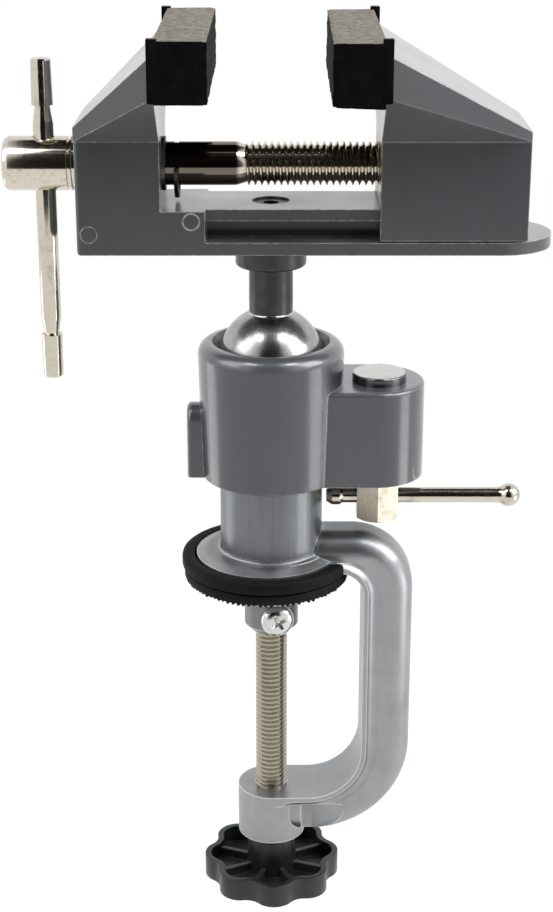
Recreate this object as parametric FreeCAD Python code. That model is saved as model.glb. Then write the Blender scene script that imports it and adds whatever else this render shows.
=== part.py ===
import FreeCAD, Part
import math
import os
from FreeCAD import Vector

# Ball-joint bench vise on a C-shaped table clamp. Millimetres.
# Origin: centre of the table face of the upper rubber pad, on the post's axis.
# +Z up, +X towards the back of the C frame, the main screw runs along X.

x_axis = Vector(1, 0, 0)
y_axis = Vector(0, 1, 0)
z_axis = Vector(0, 0, 1)
sides = (-1, 1)

past = 1.0                # how far a cut runs past the face that it opens
same = 0.001              # lengths that differ by less than this are the same
round_middle = 1 - math.sqrt(0.5)     # where a round's middle lies, as a share of its radius

# Clearances
running_gap = 0.05        # radial gap of a shaft in its bore
face_gap = 0.1            # gap between faces that turn or slide on each other
seat_gap = 0.02           # gap of a pressed or glued piece in its seat
slide_gap = 0.3           # gap all round a cast slide

# Upper rubber pad and the disc it is pushed over
pad_shift = -1.2          # the pad sits off the post's axis, away from the arm
pad_floor = 3.3           # rubber under the disc
pad_band = 2.9            # height of the lower, narrower band
pad_lip = 2.7             # how far the lip climbs the edge of the disc
pad_wall = 3.6            # width of the lip
pad_step = 0.6            # the lower band is narrower than the lip by this
pad_groove = 0.5          # depth of the line between the two bands
pad_edge = 0.5            # bevel of the lip's edges

# Post and disc, cast in one with the C frame
ball_radius = 12.5
post_radius = ball_radius
post_foot_fillet = 1.3
disc_overhang = 4.8       # disc radius over the post's
disc_thickness = 2.8
disc_rise = 1.2           # the disc's top climbs towards the post
disc_crown = 14.2         # radius where the climb ends

# C frame
throat_margin = 3.05      # upright's inner face beyond the pad's edge
throat_height = 62.8      # arm underside to lower arm top
frame_depth = 12.4        # inner face to outer face of the upright
lower_depth = 11.7        # the same for the lower arm
arm_height = 9.2
rail_thickness = 2.7      # thickness of the inner flat of the C
boss_radius = 8.6
boss_height = 13.4
web_half = 7.3
web_round = 5.2
web_waist = 3.6           # half width of the web beside the boss
waist_straight = 2.0      # length of the waist beyond the boss
waist_length = 10.0       # length over which the web widens again
upper_inner_round = 6.0
upper_outer_round = 15.2
lower_inner_round = 13.5
lower_outer_round = 25.5

# Clamp screw, its swivel foot and its knob
clamp_radius = 4.0
clamp_pitch = 1.25
clamp_depth = 0.7
thread_flank = 0.42       # share of a pitch from a thread's root to its crest
foot_radius = 13.5
foot_plate = 1.6
foot_rubber = 1.4
foot_edge = 0.4
foot_gap = 0.2            # between the closed foot and the upper pad
hub_radius = 6.7
hub_length = 12.0
hub_chamfer = 2.0
tip_radius = 3.1
tip_groove_radius = 2.1
tip_groove_width = 3.6
tip_chamfer = 0.5
foot_screw_depth = 6.8    # foot screw's axis below the foot plate
foot_screw_head = 4.15
foot_screw_turn = 12.5    # degrees round the spindle, from the front
foot_screw_radius = 1.5
foot_screw_height = 2.4
cross_depth = 1.45        # cross recess in the foot screw's head
cross_arm = 2.4
cross_half_width = 0.44
cross_turn = 30.0         # degrees
knob_radius = 17.5
knob_valley = 15.4
knob_shoulder = 16.3
knob_height = 6.0
knob_wall = 1.6
knob_lobes = 8
knob_lobe_share = 0.31    # half width of a lobe, as a share of the step between lobes
knob_turn = 3.0           # degrees
knob_hub_radius = 6.0
knob_hub_draft = 0.6
knob_hub_chamfer = 0.5
knob_hub_rise = 6.2       # knob hub above the rim
knob_rib = 1.4
knob_gap = 1.3            # knob hub below the closed frame's boss
knob_grip = 10.5          # length of screw held in the knob

# Housing round the ball, with its clamping lug
housing_bottom = 26.8     # above the table face of the upper pad
seat_web = 2.4            # nylon under the ball
seat_wall_height = 7.0    # the cup climbs the ball from its lowest point
seat_hole = 3.0
housing_wall = 5.1
housing_draft = 0.8       # the housing is this much narrower at the bottom
housing_skirt = 29.3      # housing below the ball's centre
housing_lip = 4.4         # housing above the ball's centre
lip_reach = 0.6           # how far the lip closes over the ball
lip_opening = 13.3
housing_round = 3.0
housing_foot_round = 0.5
rib_reach = 2.7
rib_half = 4.0
rib_height = 18.0
rib_round = 1.2
lug_radius = 12.2
lug_offset = 8.4          # bolt axis from the housing's outer wall
lug_setback = 1.2         # the lug's round lies this far inwards and sideways of the bolt
lug_height = 23.7
lug_round = 1.0
bolt_radius = 3.0
bolt_head_radius = 6.5
bolt_head_height = 2.2
bolt_head_round = 0.6
wedge_radius = 5.9
wedge_taper = 1.2
wedge_plain = 6.0
wedge_headroom = 1.5      # for the sleeve to rise as the nut draws it up
lug_roof = 4.0
shoe_half = 4.5
shoe_height = 12.0
nut_flats = 10.0
nut_height = 11.3
nut_chamfer = 0.8
nut_chamfer_height = 0.5
bar_depth = 6.0           # lock bar's axis below the housing
lock_bar_radius = 1.9
lock_ball_radius = 2.8
lock_cap_radius = 2.4
lock_cap_length = 4.1
lock_nose_length = 1.4    # tapered end of the cap
lock_nose_step = 0.9
lock_cap_shoulder = 0.8
lock_collar_step = 0.3    # collar under the ball end
lock_collar_length = 1.7
lock_bar_reach = 35.2     # bar's far end from the bolt axis
lock_bar_margin = 1.0     # bar's near end from the post
bolt_end_above_bar = 0.4

# Ball and stem
stem_radius = 5.2
stem_length = 10.4        # top of the ball to the collar
collar_radius = 8.35
collar_height = 5.1
collar_round = 0.8
spigot_radius = 3.5
spigot_depth = 8.0
stem_screw_radius = 2.5
stem_screw_head = 4.3
stem_screw_cone = 2.3
stem_screw_sink = 0.5
stem_screw_grip = 13.0    # length of screw in the stem
stem_socket = 1.7
stem_socket_depth = 1.6

# Bed: fixed jaw, rail and plate in one casting
bed_half = 12.5
plate_thickness = 2.95
rail_groove = 4.5
rail_flange = 2.7
rail_half = 10.0
rail_web_half = 6.0
screw_over_rail = 8.65    # main screw's axis above the rail
bed_outer = -44.2         # outer face of the fixed jaw
bed_inner = -25.0         # inner face of the fixed jaw
ledge_end = -14.9
rail_end = 57.0
plate_end = 65.4
block_rise = 7.2          # blocks above the main screw's axis
bed_round = 0.9

# Jaws and pads
jaw_inner = 24.8          # inner face of the sliding jaw
jaw_outer = 58.5
fixed_end_height = 3.2    # height of the fixed jaw's top facet at its outer end
sliding_end_height = 2.3
jaw_half = 28.5           # half width of a jaw at its pad
jaw_face_bottom = 19.4    # above the main screw's axis
jaw_face_top = 28.7
rubber_bottom = 18.1
rubber_top = 31.7
rubber_wall = 1.5         # rubber beyond the jaw's sides
rubber_thickness = 11.8
rubber_hook = 1.3
rubber_round = 0.8
peg_radius = 2.0
peg_length = 3.0
peg_spread = 18.0
peg_rise = 21.5
insert_radius = 7.0
insert_length = 12.0
jaw_bore = 5.6

# Main screw and its bar
screw_radius = 5.0
screw_pitch = 1.5
screw_depth = 0.92
thread_start = -7.0
thread_runout = 2.0
screw_end = 56.0
screw_end_chamfer = 1.0
shoulder_radius = 5.6
shoulder_length = 1.2
barrel_radius = 6.25
barrel_length = 16.1
barrel_round = 1.6
barrel_groove = 0.5
barrel_flange = 0.7
bar_hole_from_end = 9.4
washer_radius = 6.2
washer_thickness = 0.8
ring_place = 2.9          # clip's near face from the fixed jaw
ring_radius = 7.9
ring_thickness = 1.0
ring_seat = 4.2
ring_rim = 1.6            # width of the clip's outer rim
ring_tab_low = -1.2       # side tabs, from the screw's axis
ring_tab_high = 1.8
ring_foot = 1.6           # half width of the tab opposite the mouth
ring_mouth = 7.0          # half width of the mouth
ring_turn = 25.0          # degrees by which the mouth leans to the front
bar_radius = 2.375
bar_cap_radius = 2.5
bar_cap_top_radius = 2.33
bar_neck_radius = 1.7
bar_cap_length = 10.5
bar_neck_length = 4.5
bar_rise = 24.0           # top of the bar above the screw's axis
bar_length = 75.4
bar_chamfer = 0.4

# Places worked out from the sizes above
disc_radius = post_radius + disc_overhang
disc_top = pad_floor + disc_thickness
pad_radius = disc_radius + pad_wall
throat_x = pad_shift + pad_radius + throat_margin
arm_top = pad_floor + arm_height
lower_top = pad_floor - throat_height
lower_bottom = lower_top - boss_height

ball_z = housing_bottom + housing_skirt
housing_top = ball_z + housing_lip
housing_radius = post_radius + housing_wall
bore_radius = post_radius + running_gap
lug_x = housing_radius + lug_offset
lug_top = housing_bottom + lug_height
seat_bottom = ball_z - ball_radius - seat_web
post_top = seat_bottom - face_gap
seat_top = ball_z - ball_radius + seat_wall_height
lock_bar_z = housing_bottom - bar_depth

collar_bottom = ball_z + ball_radius + stem_length
collar_top = collar_bottom + collar_height
plate_bottom = collar_top + face_gap
plate_top = plate_bottom + plate_thickness
groove_top = plate_top + rail_groove
rail_top = groove_top + rail_flange
screw_z = rail_top + screw_over_rail
block_top = screw_z + block_rise
rubber_half = jaw_half + rubber_wall

shoulder_end = bed_outer - face_gap
barrel_end = shoulder_end - shoulder_length
barrel_start = barrel_end - barrel_length
bar_hole_x = barrel_start + bar_hole_from_end

foot_top = -foot_gap
foot_plate_top = foot_top - foot_rubber
foot_plate_bottom = foot_plate_top - foot_plate
hub_bottom = foot_plate_bottom - hub_length
foot_screw_z = foot_plate_bottom - foot_screw_depth
knob_hub_top = lower_bottom - knob_gap
knob_top = knob_hub_top - knob_hub_rise
knob_bottom = knob_top - knob_height


def box(x0, x1, y0, y1, z0, z1):
    return Part.makeBox(x1 - x0, y1 - y0, z1 - z0, Vector(x0, y0, z0))


def post(radius, z0, z1, x=0.0, y=0.0):
    return Part.makeCylinder(radius, z1 - z0, Vector(x, y, z0), z_axis)


def rod(radius, x0, x1, y=0.0, z=0.0):
    return Part.makeCylinder(radius, x1 - x0, Vector(x0, y, z), x_axis)


def joined(first, *others):
    shape = first
    for other in others:
        shape = shape.fuse(other)
    return shape.removeSplitter()


def turned_on_z(profile, x=0.0):
    # Solid of revolution about a vertical axis at x: profile is (radius, z).
    points = [Vector(x + radius, 0, z) for radius, z in profile]
    points.append(points[0])
    face = Part.Face(Part.makePolygon(points))
    return Part.Solid(face.revolve(Vector(x, 0, 0), z_axis, 360))


def turned_on_x(profile, z):
    # Solid of revolution about a level axis at height z: profile is (radius, x).
    points = [Vector(x, 0, z + radius) for radius, x in profile]
    points.append(points[0])
    face = Part.Face(Part.makePolygon(points))
    return Part.Solid(face.revolve(Vector(0, 0, z), x_axis, 360))


def thread_profile(radius, depth, pitch, start, end):
    # Crests and roots of a thread as plain rings, from start to end.
    step = pitch if end > start else -pitch
    points = []
    for turn in range(int(abs(end - start) / pitch)):
        here = start + turn * step
        points.append((radius - depth, here))
        points.append((radius, here + thread_flank * step))
        points.append((radius, here + (1 - thread_flank) * step))
    return points


def arc(first, centre, last):
    # Short arc in the plane y = 0 between two points, round a centre.
    middle = (first + last) * 0.5 - centre
    middle = middle.normalize() * (first - centre).Length + centre
    return Part.Arc(first, middle, last).toShape()


def extruded(edges, half):
    # Solid from an outline in the plane y = 0, the same width to both sides.
    face = Part.Face(Part.Wire(Part.__sortEdges__(edges)))
    face.translate(Vector(0, -half, 0))
    return face.extrude(Vector(0, 2 * half, 0))


def c_outline(upper, upright, lower, upper_round, lower_round, x_start):
    # Outline of the C: its inner face, and the depths of its three sides.
    outer_x = throat_x + upright
    outer_top = pad_floor + upper
    outer_bottom = lower_top - lower
    inner = throat_x - upper_inner_round
    inner_low = throat_x - lower_inner_round
    low_z = lower_top + lower_inner_round
    high_z = pad_floor - upper_inner_round
    outer_corner = Vector(outer_x - upper_round, 0, outer_top - upper_round)
    low_corner = Vector(outer_x - lower_round, 0, outer_bottom + lower_round)
    a = Vector(x_start, 0, outer_top)
    b = Vector(outer_corner.x, 0, outer_top)
    c = Vector(outer_x, 0, outer_corner.z)
    d = Vector(outer_x, 0, low_corner.z)
    e = Vector(low_corner.x, 0, outer_bottom)
    f = Vector(x_start, 0, outer_bottom)
    g = Vector(x_start, 0, lower_top)
    h = Vector(inner_low, 0, lower_top)
    i = Vector(throat_x, 0, low_z)
    j = Vector(throat_x, 0, high_z)
    k = Vector(inner, 0, pad_floor)
    m = Vector(x_start, 0, pad_floor)
    low_centre = Vector(inner_low, 0, low_z)
    return [
        Part.makeLine(a, b),
        arc(b, outer_corner, c),
        Part.makeLine(c, d),
        arc(d, low_corner, e),
        Part.makeLine(e, f),
        Part.makeLine(f, g),
        Part.makeLine(g, h),
        arc(h, low_centre, i),
        Part.makeLine(i, j),
        arc(j, Vector(inner, 0, high_z), k),
        Part.makeLine(k, m),
        Part.makeLine(m, a),
    ]


def rounded(shape, radius, chosen):
    # Fillet on the edges that chosen says yes to.
    edges = [edge for edge in shape.Edges if chosen(edge)]
    return shape.makeFillet(radius, edges)


def bevelled(shape, size, chosen):
    edges = [edge for edge in shape.Edges if chosen(edge)]
    return shape.makeChamfer(size, edges)


def near(value, target):
    return abs(value - target) < same


def at_height(z):
    return lambda edge: near(edge.BoundBox.ZMin, z) and near(edge.BoundBox.ZMax, z)


def make_c_frame():
    web = extruded(c_outline(arm_height, frame_depth, lower_depth, upper_outer_round,
                             lower_outer_round, 0), web_half)

    def on_outer_face(edge):
        bounds = edge.BoundBox
        if not (near(abs(bounds.YMin), web_half) and near(bounds.YMin, bounds.YMax)):
            return False
        middle = edge.valueAt((edge.FirstParameter + edge.LastParameter) / 2)
        if near(middle.x, 0):
            return False
        in_throat = middle.x < throat_x + same
        between = lower_top - same < middle.z < pad_floor + same
        return not (in_throat and between)

    web = rounded(web, web_round, on_outer_face)
    for side in sides:
        start_x = boss_radius - past
        waist_end_x = boss_radius + waist_straight
        full_x = boss_radius + waist_length
        low = lower_bottom - past
        corners = [
            Vector(start_x, side * web_waist, low),
            Vector(waist_end_x, side * web_waist, low),
            Vector(full_x, side * (web_half + face_gap), low),
            Vector(full_x, side * (web_half + past), low),
            Vector(start_x, side * (web_half + past), low),
        ]
        corners.append(corners[0])
        relief = Part.Face(Part.makePolygon(corners))
        relief = relief.extrude(Vector(0, 0, boss_height - rail_thickness + past))
        web = web.cut(relief)
    rail = extruded(c_outline(rail_thickness, rail_thickness, rail_thickness,
                              upper_inner_round + rail_thickness,
                              lower_inner_round + rail_thickness, 0), boss_radius)
    disc = turned_on_z([
        (0, pad_floor),
        (disc_radius, pad_floor),
        (disc_radius, disc_top),
        (disc_crown, disc_top + disc_rise),
        (0, disc_top + disc_rise),
    ], pad_shift)
    foot_z = disc_top + disc_rise
    fillet_middle = round_middle * post_foot_fillet
    shaft = post(post_radius, pad_floor, post_top)
    shaft = bevelled(shaft, post_foot_fillet / 2, at_height(post_top))
    foot_ring = turned_on_z([
        (0, foot_z - disc_rise),
        (post_radius + post_foot_fillet, foot_z - disc_rise),
        (post_radius + post_foot_fillet, foot_z),
        (post_radius + fillet_middle, foot_z + fillet_middle),
        (post_radius, foot_z + post_foot_fillet),
        (0, foot_z + post_foot_fillet),
    ])
    boss = post(boss_radius, lower_bottom, lower_top)
    frame = joined(web, rail, disc, shaft, foot_ring, boss)
    screw_hole = post(clamp_radius + running_gap, lower_bottom - past, lower_top + past)
    return frame.cut(screw_hole)


def make_upper_pad():
    band_radius = pad_radius - pad_step
    body = turned_on_z([
        (0, 0),
        (band_radius, 0),
        (band_radius, pad_band - pad_groove),
        (band_radius - pad_groove, pad_band),
        (pad_radius - pad_edge, pad_band),
        (pad_radius, pad_band + pad_edge),
        (pad_radius, pad_floor + pad_lip - pad_edge),
        (pad_radius - pad_edge, pad_floor + pad_lip),
        (disc_radius, pad_floor + pad_lip),
        (disc_radius, pad_floor),
        (0, pad_floor),
    ], pad_shift)
    arm_room = box(post_radius / 2, throat_x, -boss_radius - slide_gap,
                   boss_radius + slide_gap, pad_band - pad_groove, arm_top)
    under_disc = post(disc_radius, 0, pad_floor, pad_shift)
    return body.cut(arm_room.cut(under_disc))


def make_foot_disc():
    body = turned_on_z([
        (0, foot_plate_top),
        (foot_radius, foot_plate_top),
        (foot_radius, foot_plate_bottom),
        (hub_radius, foot_plate_bottom),
        (hub_radius, hub_bottom + hub_chamfer),
        (hub_radius - hub_chamfer, hub_bottom),
        (0, hub_bottom),
    ])
    tip_bore = post(tip_radius + running_gap, hub_bottom - past, foot_plate_bottom)
    screw_bore = Part.makeCylinder(foot_screw_radius + seat_gap, hub_radius + past,
                                   Vector(0, -hub_radius - past, foot_screw_z), y_axis)
    screw_bore.rotate(Vector(0, 0, 0), z_axis, foot_screw_turn)
    return body.cut(tip_bore).cut(screw_bore)


def make_foot_pad():
    return turned_on_z([
        (0, foot_plate_top),
        (foot_radius, foot_plate_top),
        (foot_radius, foot_top - foot_edge),
        (foot_radius - foot_edge, foot_top),
        (0, foot_top),
    ])


def make_foot_screw():
    # Pan-head cross screw in the hub's side, its tip in the spindle's groove.
    head = Part.makeCylinder(foot_screw_head, foot_screw_height,
                             Vector(0, -hub_radius - foot_screw_height, foot_screw_z), y_axis)
    head = rounded(head, foot_screw_height / 2,
                   lambda edge: near(edge.BoundBox.YMax, -hub_radius - foot_screw_height))
    tip_y = -tip_groove_radius - slide_gap
    shank = Part.makeCylinder(foot_screw_radius, hub_radius + tip_y,
                              Vector(0, -hub_radius, foot_screw_z), y_axis)
    face_y = -hub_radius - foot_screw_height
    bottom_y = face_y + cross_depth
    slots = joined(
        box(-cross_arm, cross_arm, face_y - past, bottom_y,
            foot_screw_z - cross_half_width, foot_screw_z + cross_half_width),
        box(-cross_half_width, cross_half_width, face_y - past, bottom_y,
            foot_screw_z - cross_arm, foot_screw_z + cross_arm))
    slots.rotate(Vector(0, 0, foot_screw_z), y_axis, cross_turn)
    screw = joined(head.cut(slots), shank)
    screw.rotate(Vector(0, 0, 0), z_axis, foot_screw_turn)
    return screw


def make_clamp_screw():
    tip_top = foot_plate_bottom - slide_gap
    groove_top_z = foot_screw_z + tip_groove_width / 2
    groove_low_z = foot_screw_z - tip_groove_width / 2
    thread_top = hub_bottom - face_gap
    knob_end = knob_hub_top - knob_grip
    profile = [
        (0, tip_top),
        (tip_radius - tip_chamfer, tip_top),
        (tip_radius, tip_top - tip_chamfer),
        (tip_radius, groove_top_z),
        (tip_groove_radius, groove_top_z),
        (tip_groove_radius, groove_low_z),
        (tip_radius, groove_low_z),
        (tip_radius, thread_top),
    ]
    profile += thread_profile(clamp_radius, clamp_depth, clamp_pitch, thread_top,
                              knob_hub_top)
    profile += [
        (clamp_radius, knob_hub_top),
        (clamp_radius, knob_end),
        (0, knob_end),
    ]
    return turned_on_z(profile)


def lobed_prism(inset, z0, z1):
    edges = []
    step = 360.0 / knob_lobes
    shoulder = knob_lobe_share * step

    def at(radius, degrees):
        angle = math.radians(degrees + knob_turn)
        return Vector((radius - inset) * math.cos(angle), (radius - inset) * math.sin(angle), z0)

    for lobe in range(knob_lobes):
        here = lobe * step
        start = at(knob_shoulder, here - shoulder)
        end = at(knob_shoulder, here + shoulder)
        following = at(knob_shoulder, here + step - shoulder)
        edges.append(Part.Arc(start, at(knob_radius, here), end).toShape())
        valley = at(knob_valley, here + step / 2)
        edges.append(Part.Arc(end, valley, following).toShape())
    return Part.Face(Part.Wire(edges)).extrude(Vector(0, 0, z1 - z0))


def make_knob():
    floor = knob_bottom + knob_wall
    cup = lobed_prism(0, knob_bottom, knob_top)
    cup = cup.cut(lobed_prism(knob_wall, floor, knob_top + past))
    hub = turned_on_z([
        (0, knob_bottom),
        (knob_hub_radius + knob_hub_draft, knob_bottom),
        (knob_hub_radius, knob_hub_top - knob_hub_chamfer),
        (knob_hub_radius - knob_hub_chamfer, knob_hub_top),
        (0, knob_hub_top),
    ])
    ribs = []
    for lobe in range(knob_lobes):
        rib = box(knob_hub_radius / 2, knob_valley - knob_wall / 2, -knob_rib / 2, knob_rib / 2,
                  floor - knob_wall / 2, knob_top - knob_wall / 2)
        rib.rotate(Vector(0, 0, 0), z_axis, knob_turn + (lobe + 0.5) * 360.0 / knob_lobes)
        ribs.append(rib)
    knob = joined(cup, hub, *ribs)
    grip = post(clamp_radius + seat_gap, knob_hub_top - knob_grip, knob_hub_top + past)
    return knob.cut(grip)


def make_housing():
    shell = Part.makeCone(housing_radius - housing_draft, housing_radius,
                          housing_top - housing_bottom, Vector(0, 0, housing_bottom), z_axis)
    shell = rounded(shell, housing_round, at_height(housing_top))
    shell = rounded(shell, housing_foot_round, at_height(housing_bottom))
    round_x = lug_x - lug_setback
    lug = joined(box(0, round_x, lug_setback - lug_radius, lug_setback + lug_radius,
                     housing_bottom, lug_top),
                 post(lug_radius, housing_bottom, lug_top, round_x, lug_setback))
    lug = rounded(lug, lug_round, lambda edge: at_height(lug_top)(edge)
                  and not near(edge.BoundBox.XMax, 0))
    rib_arch_z = housing_bottom + rib_height - rib_half
    rib_x = -housing_radius - rib_reach
    rib = joined(box(rib_x, 0, -rib_half, rib_half, housing_bottom, rib_arch_z),
                 rod(rib_half, rib_x, 0, 0, rib_arch_z))
    rib = rounded(rib, rib_round, lambda edge: near(edge.BoundBox.XMax, rib_x)
                  and not at_height(housing_bottom)(edge))
    body = joined(shell, lug, rib)
    lip_radius = ball_radius + running_gap - lip_reach
    lip_z = ball_z + math.sqrt((ball_radius + running_gap) ** 2 - lip_radius ** 2)
    mouth = Part.makeCone(lip_radius, lip_opening, housing_top - lip_z,
                          Vector(0, 0, lip_z), z_axis)
    bore = post(bore_radius, housing_bottom - past, ball_z)
    pocket = Part.makeSphere(ball_radius + running_gap, Vector(0, 0, ball_z))
    roof_z = lug_top - lug_roof
    wedge_bore = post(wedge_radius + face_gap, housing_bottom - past, roof_z, lug_x)
    bolt_bore = post(bolt_radius + face_gap, roof_z - past, lug_top + past, lug_x)
    slot = box(post_radius / 2, lug_x, -shoe_half, shoe_half, roof_z - shoe_height - slide_gap,
               roof_z)
    for hollow in (bore, pocket, mouth, wedge_bore, bolt_bore, slot):
        body = body.cut(hollow)
    return body


def wedge_solid(growth):
    # Tapered sleeve on the draw bolt, or the space it turns in.
    top = lug_top - lug_roof - wedge_headroom
    plain_top = housing_bottom + wedge_plain
    return turned_on_z([
        (0, housing_bottom),
        (wedge_radius + growth, housing_bottom),
        (wedge_radius + growth, plain_top),
        (wedge_radius - wedge_taper + growth, top + growth),
        (0, top + growth),
    ], lug_x)


def make_clamp_wedge():
    bore = post(bolt_radius + running_gap, housing_bottom - past, lug_top, lug_x)
    return wedge_solid(0).cut(bore)


def make_clamp_shoe():
    # Between the wedge sleeve and the post, its far side hollowed to fit the taper.
    roof_z = lug_top - lug_roof
    side = shoe_half - face_gap
    far_x = lug_x - wedge_radius + wedge_taper / 2
    block = box(post_radius / 2, far_x, -side, side, roof_z - shoe_height, roof_z - face_gap)
    block = block.cut(post(post_radius + 2 * face_gap, housing_bottom, housing_top))
    return block.cut(wedge_solid(2 * face_gap))


def make_draw_bolt():
    head = post(bolt_head_radius, lug_top, lug_top + bolt_head_height, lug_x)
    head = rounded(head, bolt_head_round, at_height(lug_top + bolt_head_height))
    bolt_end = lock_bar_z + lock_bar_radius + bolt_end_above_bar
    shank = post(bolt_radius, bolt_end, lug_top, lug_x)
    shank = bevelled(shank, bolt_head_round, at_height(bolt_end))
    return joined(head, shank)


def hexagon_prism(flats, z0, z1, x):
    corner = flats / math.sqrt(3)
    points = []
    for corner_number in range(7):
        angle = math.radians(90 + 60 * corner_number)
        points.append(Vector(x + corner * math.cos(angle), corner * math.sin(angle), z0))
    return Part.Face(Part.makePolygon(points)).extrude(Vector(0, 0, z1 - z0))


def make_lock_nut():
    top = housing_bottom - face_gap
    bottom = top - nut_height
    corner = nut_flats / math.sqrt(3)
    prism = hexagon_prism(nut_flats, bottom, top, lug_x)
    turned = turned_on_z([
        (0, bottom),
        (corner - nut_chamfer, bottom),
        (corner, bottom + nut_chamfer_height),
        (corner, top - nut_chamfer_height),
        (corner - nut_chamfer, top),
        (0, top),
    ], lug_x)
    nut = prism.common(turned)
    bolt_bore = post(bolt_radius + running_gap, lock_bar_z, top + past, lug_x)
    bar_bore = rod(lock_bar_radius + running_gap, lug_x - nut_flats, lug_x + nut_flats, 0, lock_bar_z)
    return nut.cut(bolt_bore).cut(bar_bore)


def make_lock_bar():
    near_end = post_radius + lock_bar_margin
    cap_end = near_end + lock_cap_length
    far_end = lug_x + lock_bar_reach
    ball_x = far_end - lock_ball_radius
    bar = turned_on_x([
        (0, near_end),
        (lock_cap_radius - lock_nose_step, near_end),
        (lock_cap_radius, near_end + lock_nose_length),
        (lock_cap_radius, cap_end - lock_cap_shoulder),
        (lock_bar_radius, cap_end),
        (lock_bar_radius, ball_x - lock_ball_radius),
        (lock_bar_radius + lock_collar_step, ball_x - lock_collar_length),
        (lock_bar_radius + lock_collar_step, ball_x),
        (0, ball_x),
    ], lock_bar_z)
    return joined(bar, Part.makeSphere(lock_ball_radius, Vector(ball_x, 0, lock_bar_z)))


def make_ball_seat():
    cup = post(bore_radius - face_gap, seat_bottom, seat_top)
    cup = cup.cut(Part.makeSphere(ball_radius + face_gap, Vector(0, 0, ball_z)))
    return cup.cut(post(seat_hole, seat_bottom - past, seat_top))


def make_ball():
    sphere = Part.makeSphere(ball_radius, Vector(0, 0, ball_z))
    bore_bottom = ball_z + ball_radius - spigot_depth
    return sphere.cut(post(spigot_radius, bore_bottom, ball_z + 2 * ball_radius))


def make_ball_stem():
    stem = post(stem_radius, ball_z + ball_radius / 2, collar_bottom + collar_round)
    stem = stem.cut(Part.makeSphere(ball_radius + seat_gap, Vector(0, 0, ball_z)))
    collar = post(collar_radius, collar_bottom, collar_top)
    collar = rounded(collar, collar_round, at_height(collar_bottom))
    spigot = post(spigot_radius - seat_gap, ball_z + ball_radius - spigot_depth + face_gap,
                  collar_bottom)
    body = joined(stem, collar, spigot)
    screw_bottom = collar_top - stem_screw_grip - face_gap
    return body.cut(post(stem_screw_radius + running_gap, screw_bottom, collar_top + past))


def make_stem_screw():
    head_top = rail_top - stem_screw_sink
    body = turned_on_z([
        (0, head_top),
        (stem_screw_head, head_top),
        (stem_screw_radius, head_top - stem_screw_cone),
        (stem_screw_radius, collar_top - stem_screw_grip),
        (0, collar_top - stem_screw_grip),
    ])
    socket = hexagon_prism(2 * stem_socket, head_top - stem_socket_depth, head_top + past, 0)
    return body.cut(socket)


def jaw_wedge(face_x, end_x, end_height):
    # Upper part of a jaw: narrow at its outer end, wide and tall at its pad.
    low = block_top
    high = low + end_height
    face_low = screw_z + jaw_face_bottom
    face_high = screw_z + jaw_face_top

    def face_of(*points):
        return Part.Face(Part.makePolygon(list(points) + [points[0]]))

    end_low = [Vector(end_x, side * bed_half, low) for side in sides]
    end_high = [Vector(end_x, side * bed_half, high) for side in sides]
    root = [Vector(face_x, side * bed_half, low) for side in sides]
    wing_low = [Vector(face_x, side * jaw_half, face_low) for side in sides]
    wing_high = [Vector(face_x, side * jaw_half, face_high) for side in sides]
    faces = [
        face_of(end_low[0], end_low[1], end_high[1], end_high[0]),
        face_of(end_high[0], end_high[1], wing_high[1], wing_high[0]),
        face_of(end_low[0], end_low[1], root[1], root[0]),
        face_of(root[0], root[1], wing_low[1], wing_high[1], wing_high[0], wing_low[0]),
    ]
    for side in (0, 1):
        faces.append(face_of(end_low[side], end_high[side], wing_high[side], wing_low[side]))
        faces.append(face_of(end_low[side], wing_low[side], root[side]))
    solid = Part.Solid(Part.Shell(faces))
    if solid.Volume < 0:
        solid.reverse()
    return solid


def peg_holes(face_x, direction):
    holes = []
    for side in sides:
        holes.append(Part.makeCylinder(peg_radius + seat_gap, peg_length + face_gap,
                                       Vector(face_x, side * peg_spread, screw_z + peg_rise),
                                       x_axis * direction))
    return holes


def make_bed():
    plate_round_x = plate_end - bed_half
    plate = joined(box(bed_outer, plate_round_x, -bed_half, bed_half, plate_bottom, plate_top),
                   post(bed_half, plate_bottom, plate_top, plate_round_x))
    web = box(bed_outer, rail_end, -rail_web_half, rail_web_half, plate_bottom, rail_top)
    flange = box(bed_outer, rail_end, -rail_half, rail_half, groove_top, rail_top)
    ledge = box(bed_outer, ledge_end, -bed_half, bed_half, plate_bottom, rail_top)
    block = box(bed_outer, bed_inner, -bed_half, bed_half, plate_bottom, block_top)
    bed = joined(plate, web, flange, ledge, block)

    def outer_corner(edge):
        bounds = edge.BoundBox
        at_end = near(bounds.XMin, bed_outer) and near(bounds.XMax, bed_outer)
        upright = near(abs(bounds.YMin), bed_half) and near(bounds.YMin, bounds.YMax)
        lowest = near(bounds.ZMax, plate_bottom)
        return at_end and (upright or lowest)

    bed = rounded(bed, bed_round, outer_corner)
    bed = joined(bed, jaw_wedge(bed_inner, bed_outer, fixed_end_height))
    bed = bed.cut(rod(screw_radius + running_gap, bed_outer - past, bed_inner + past, 0, screw_z))
    bed = bed.cut(post(stem_screw_radius + face_gap, plate_bottom - past, rail_top + past))
    sink = turned_on_z([
        (0, rail_top + past),
        (stem_screw_head + face_gap, rail_top + past),
        (stem_screw_head + face_gap, rail_top - stem_screw_sink),
        (stem_screw_radius + face_gap, rail_top - stem_screw_sink - stem_screw_cone),
        (0, rail_top - stem_screw_sink - stem_screw_cone),
    ])
    bed = bed.cut(sink)
    for hole in peg_holes(bed_inner, -1):
        bed = bed.cut(hole)
    return bed


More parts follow.
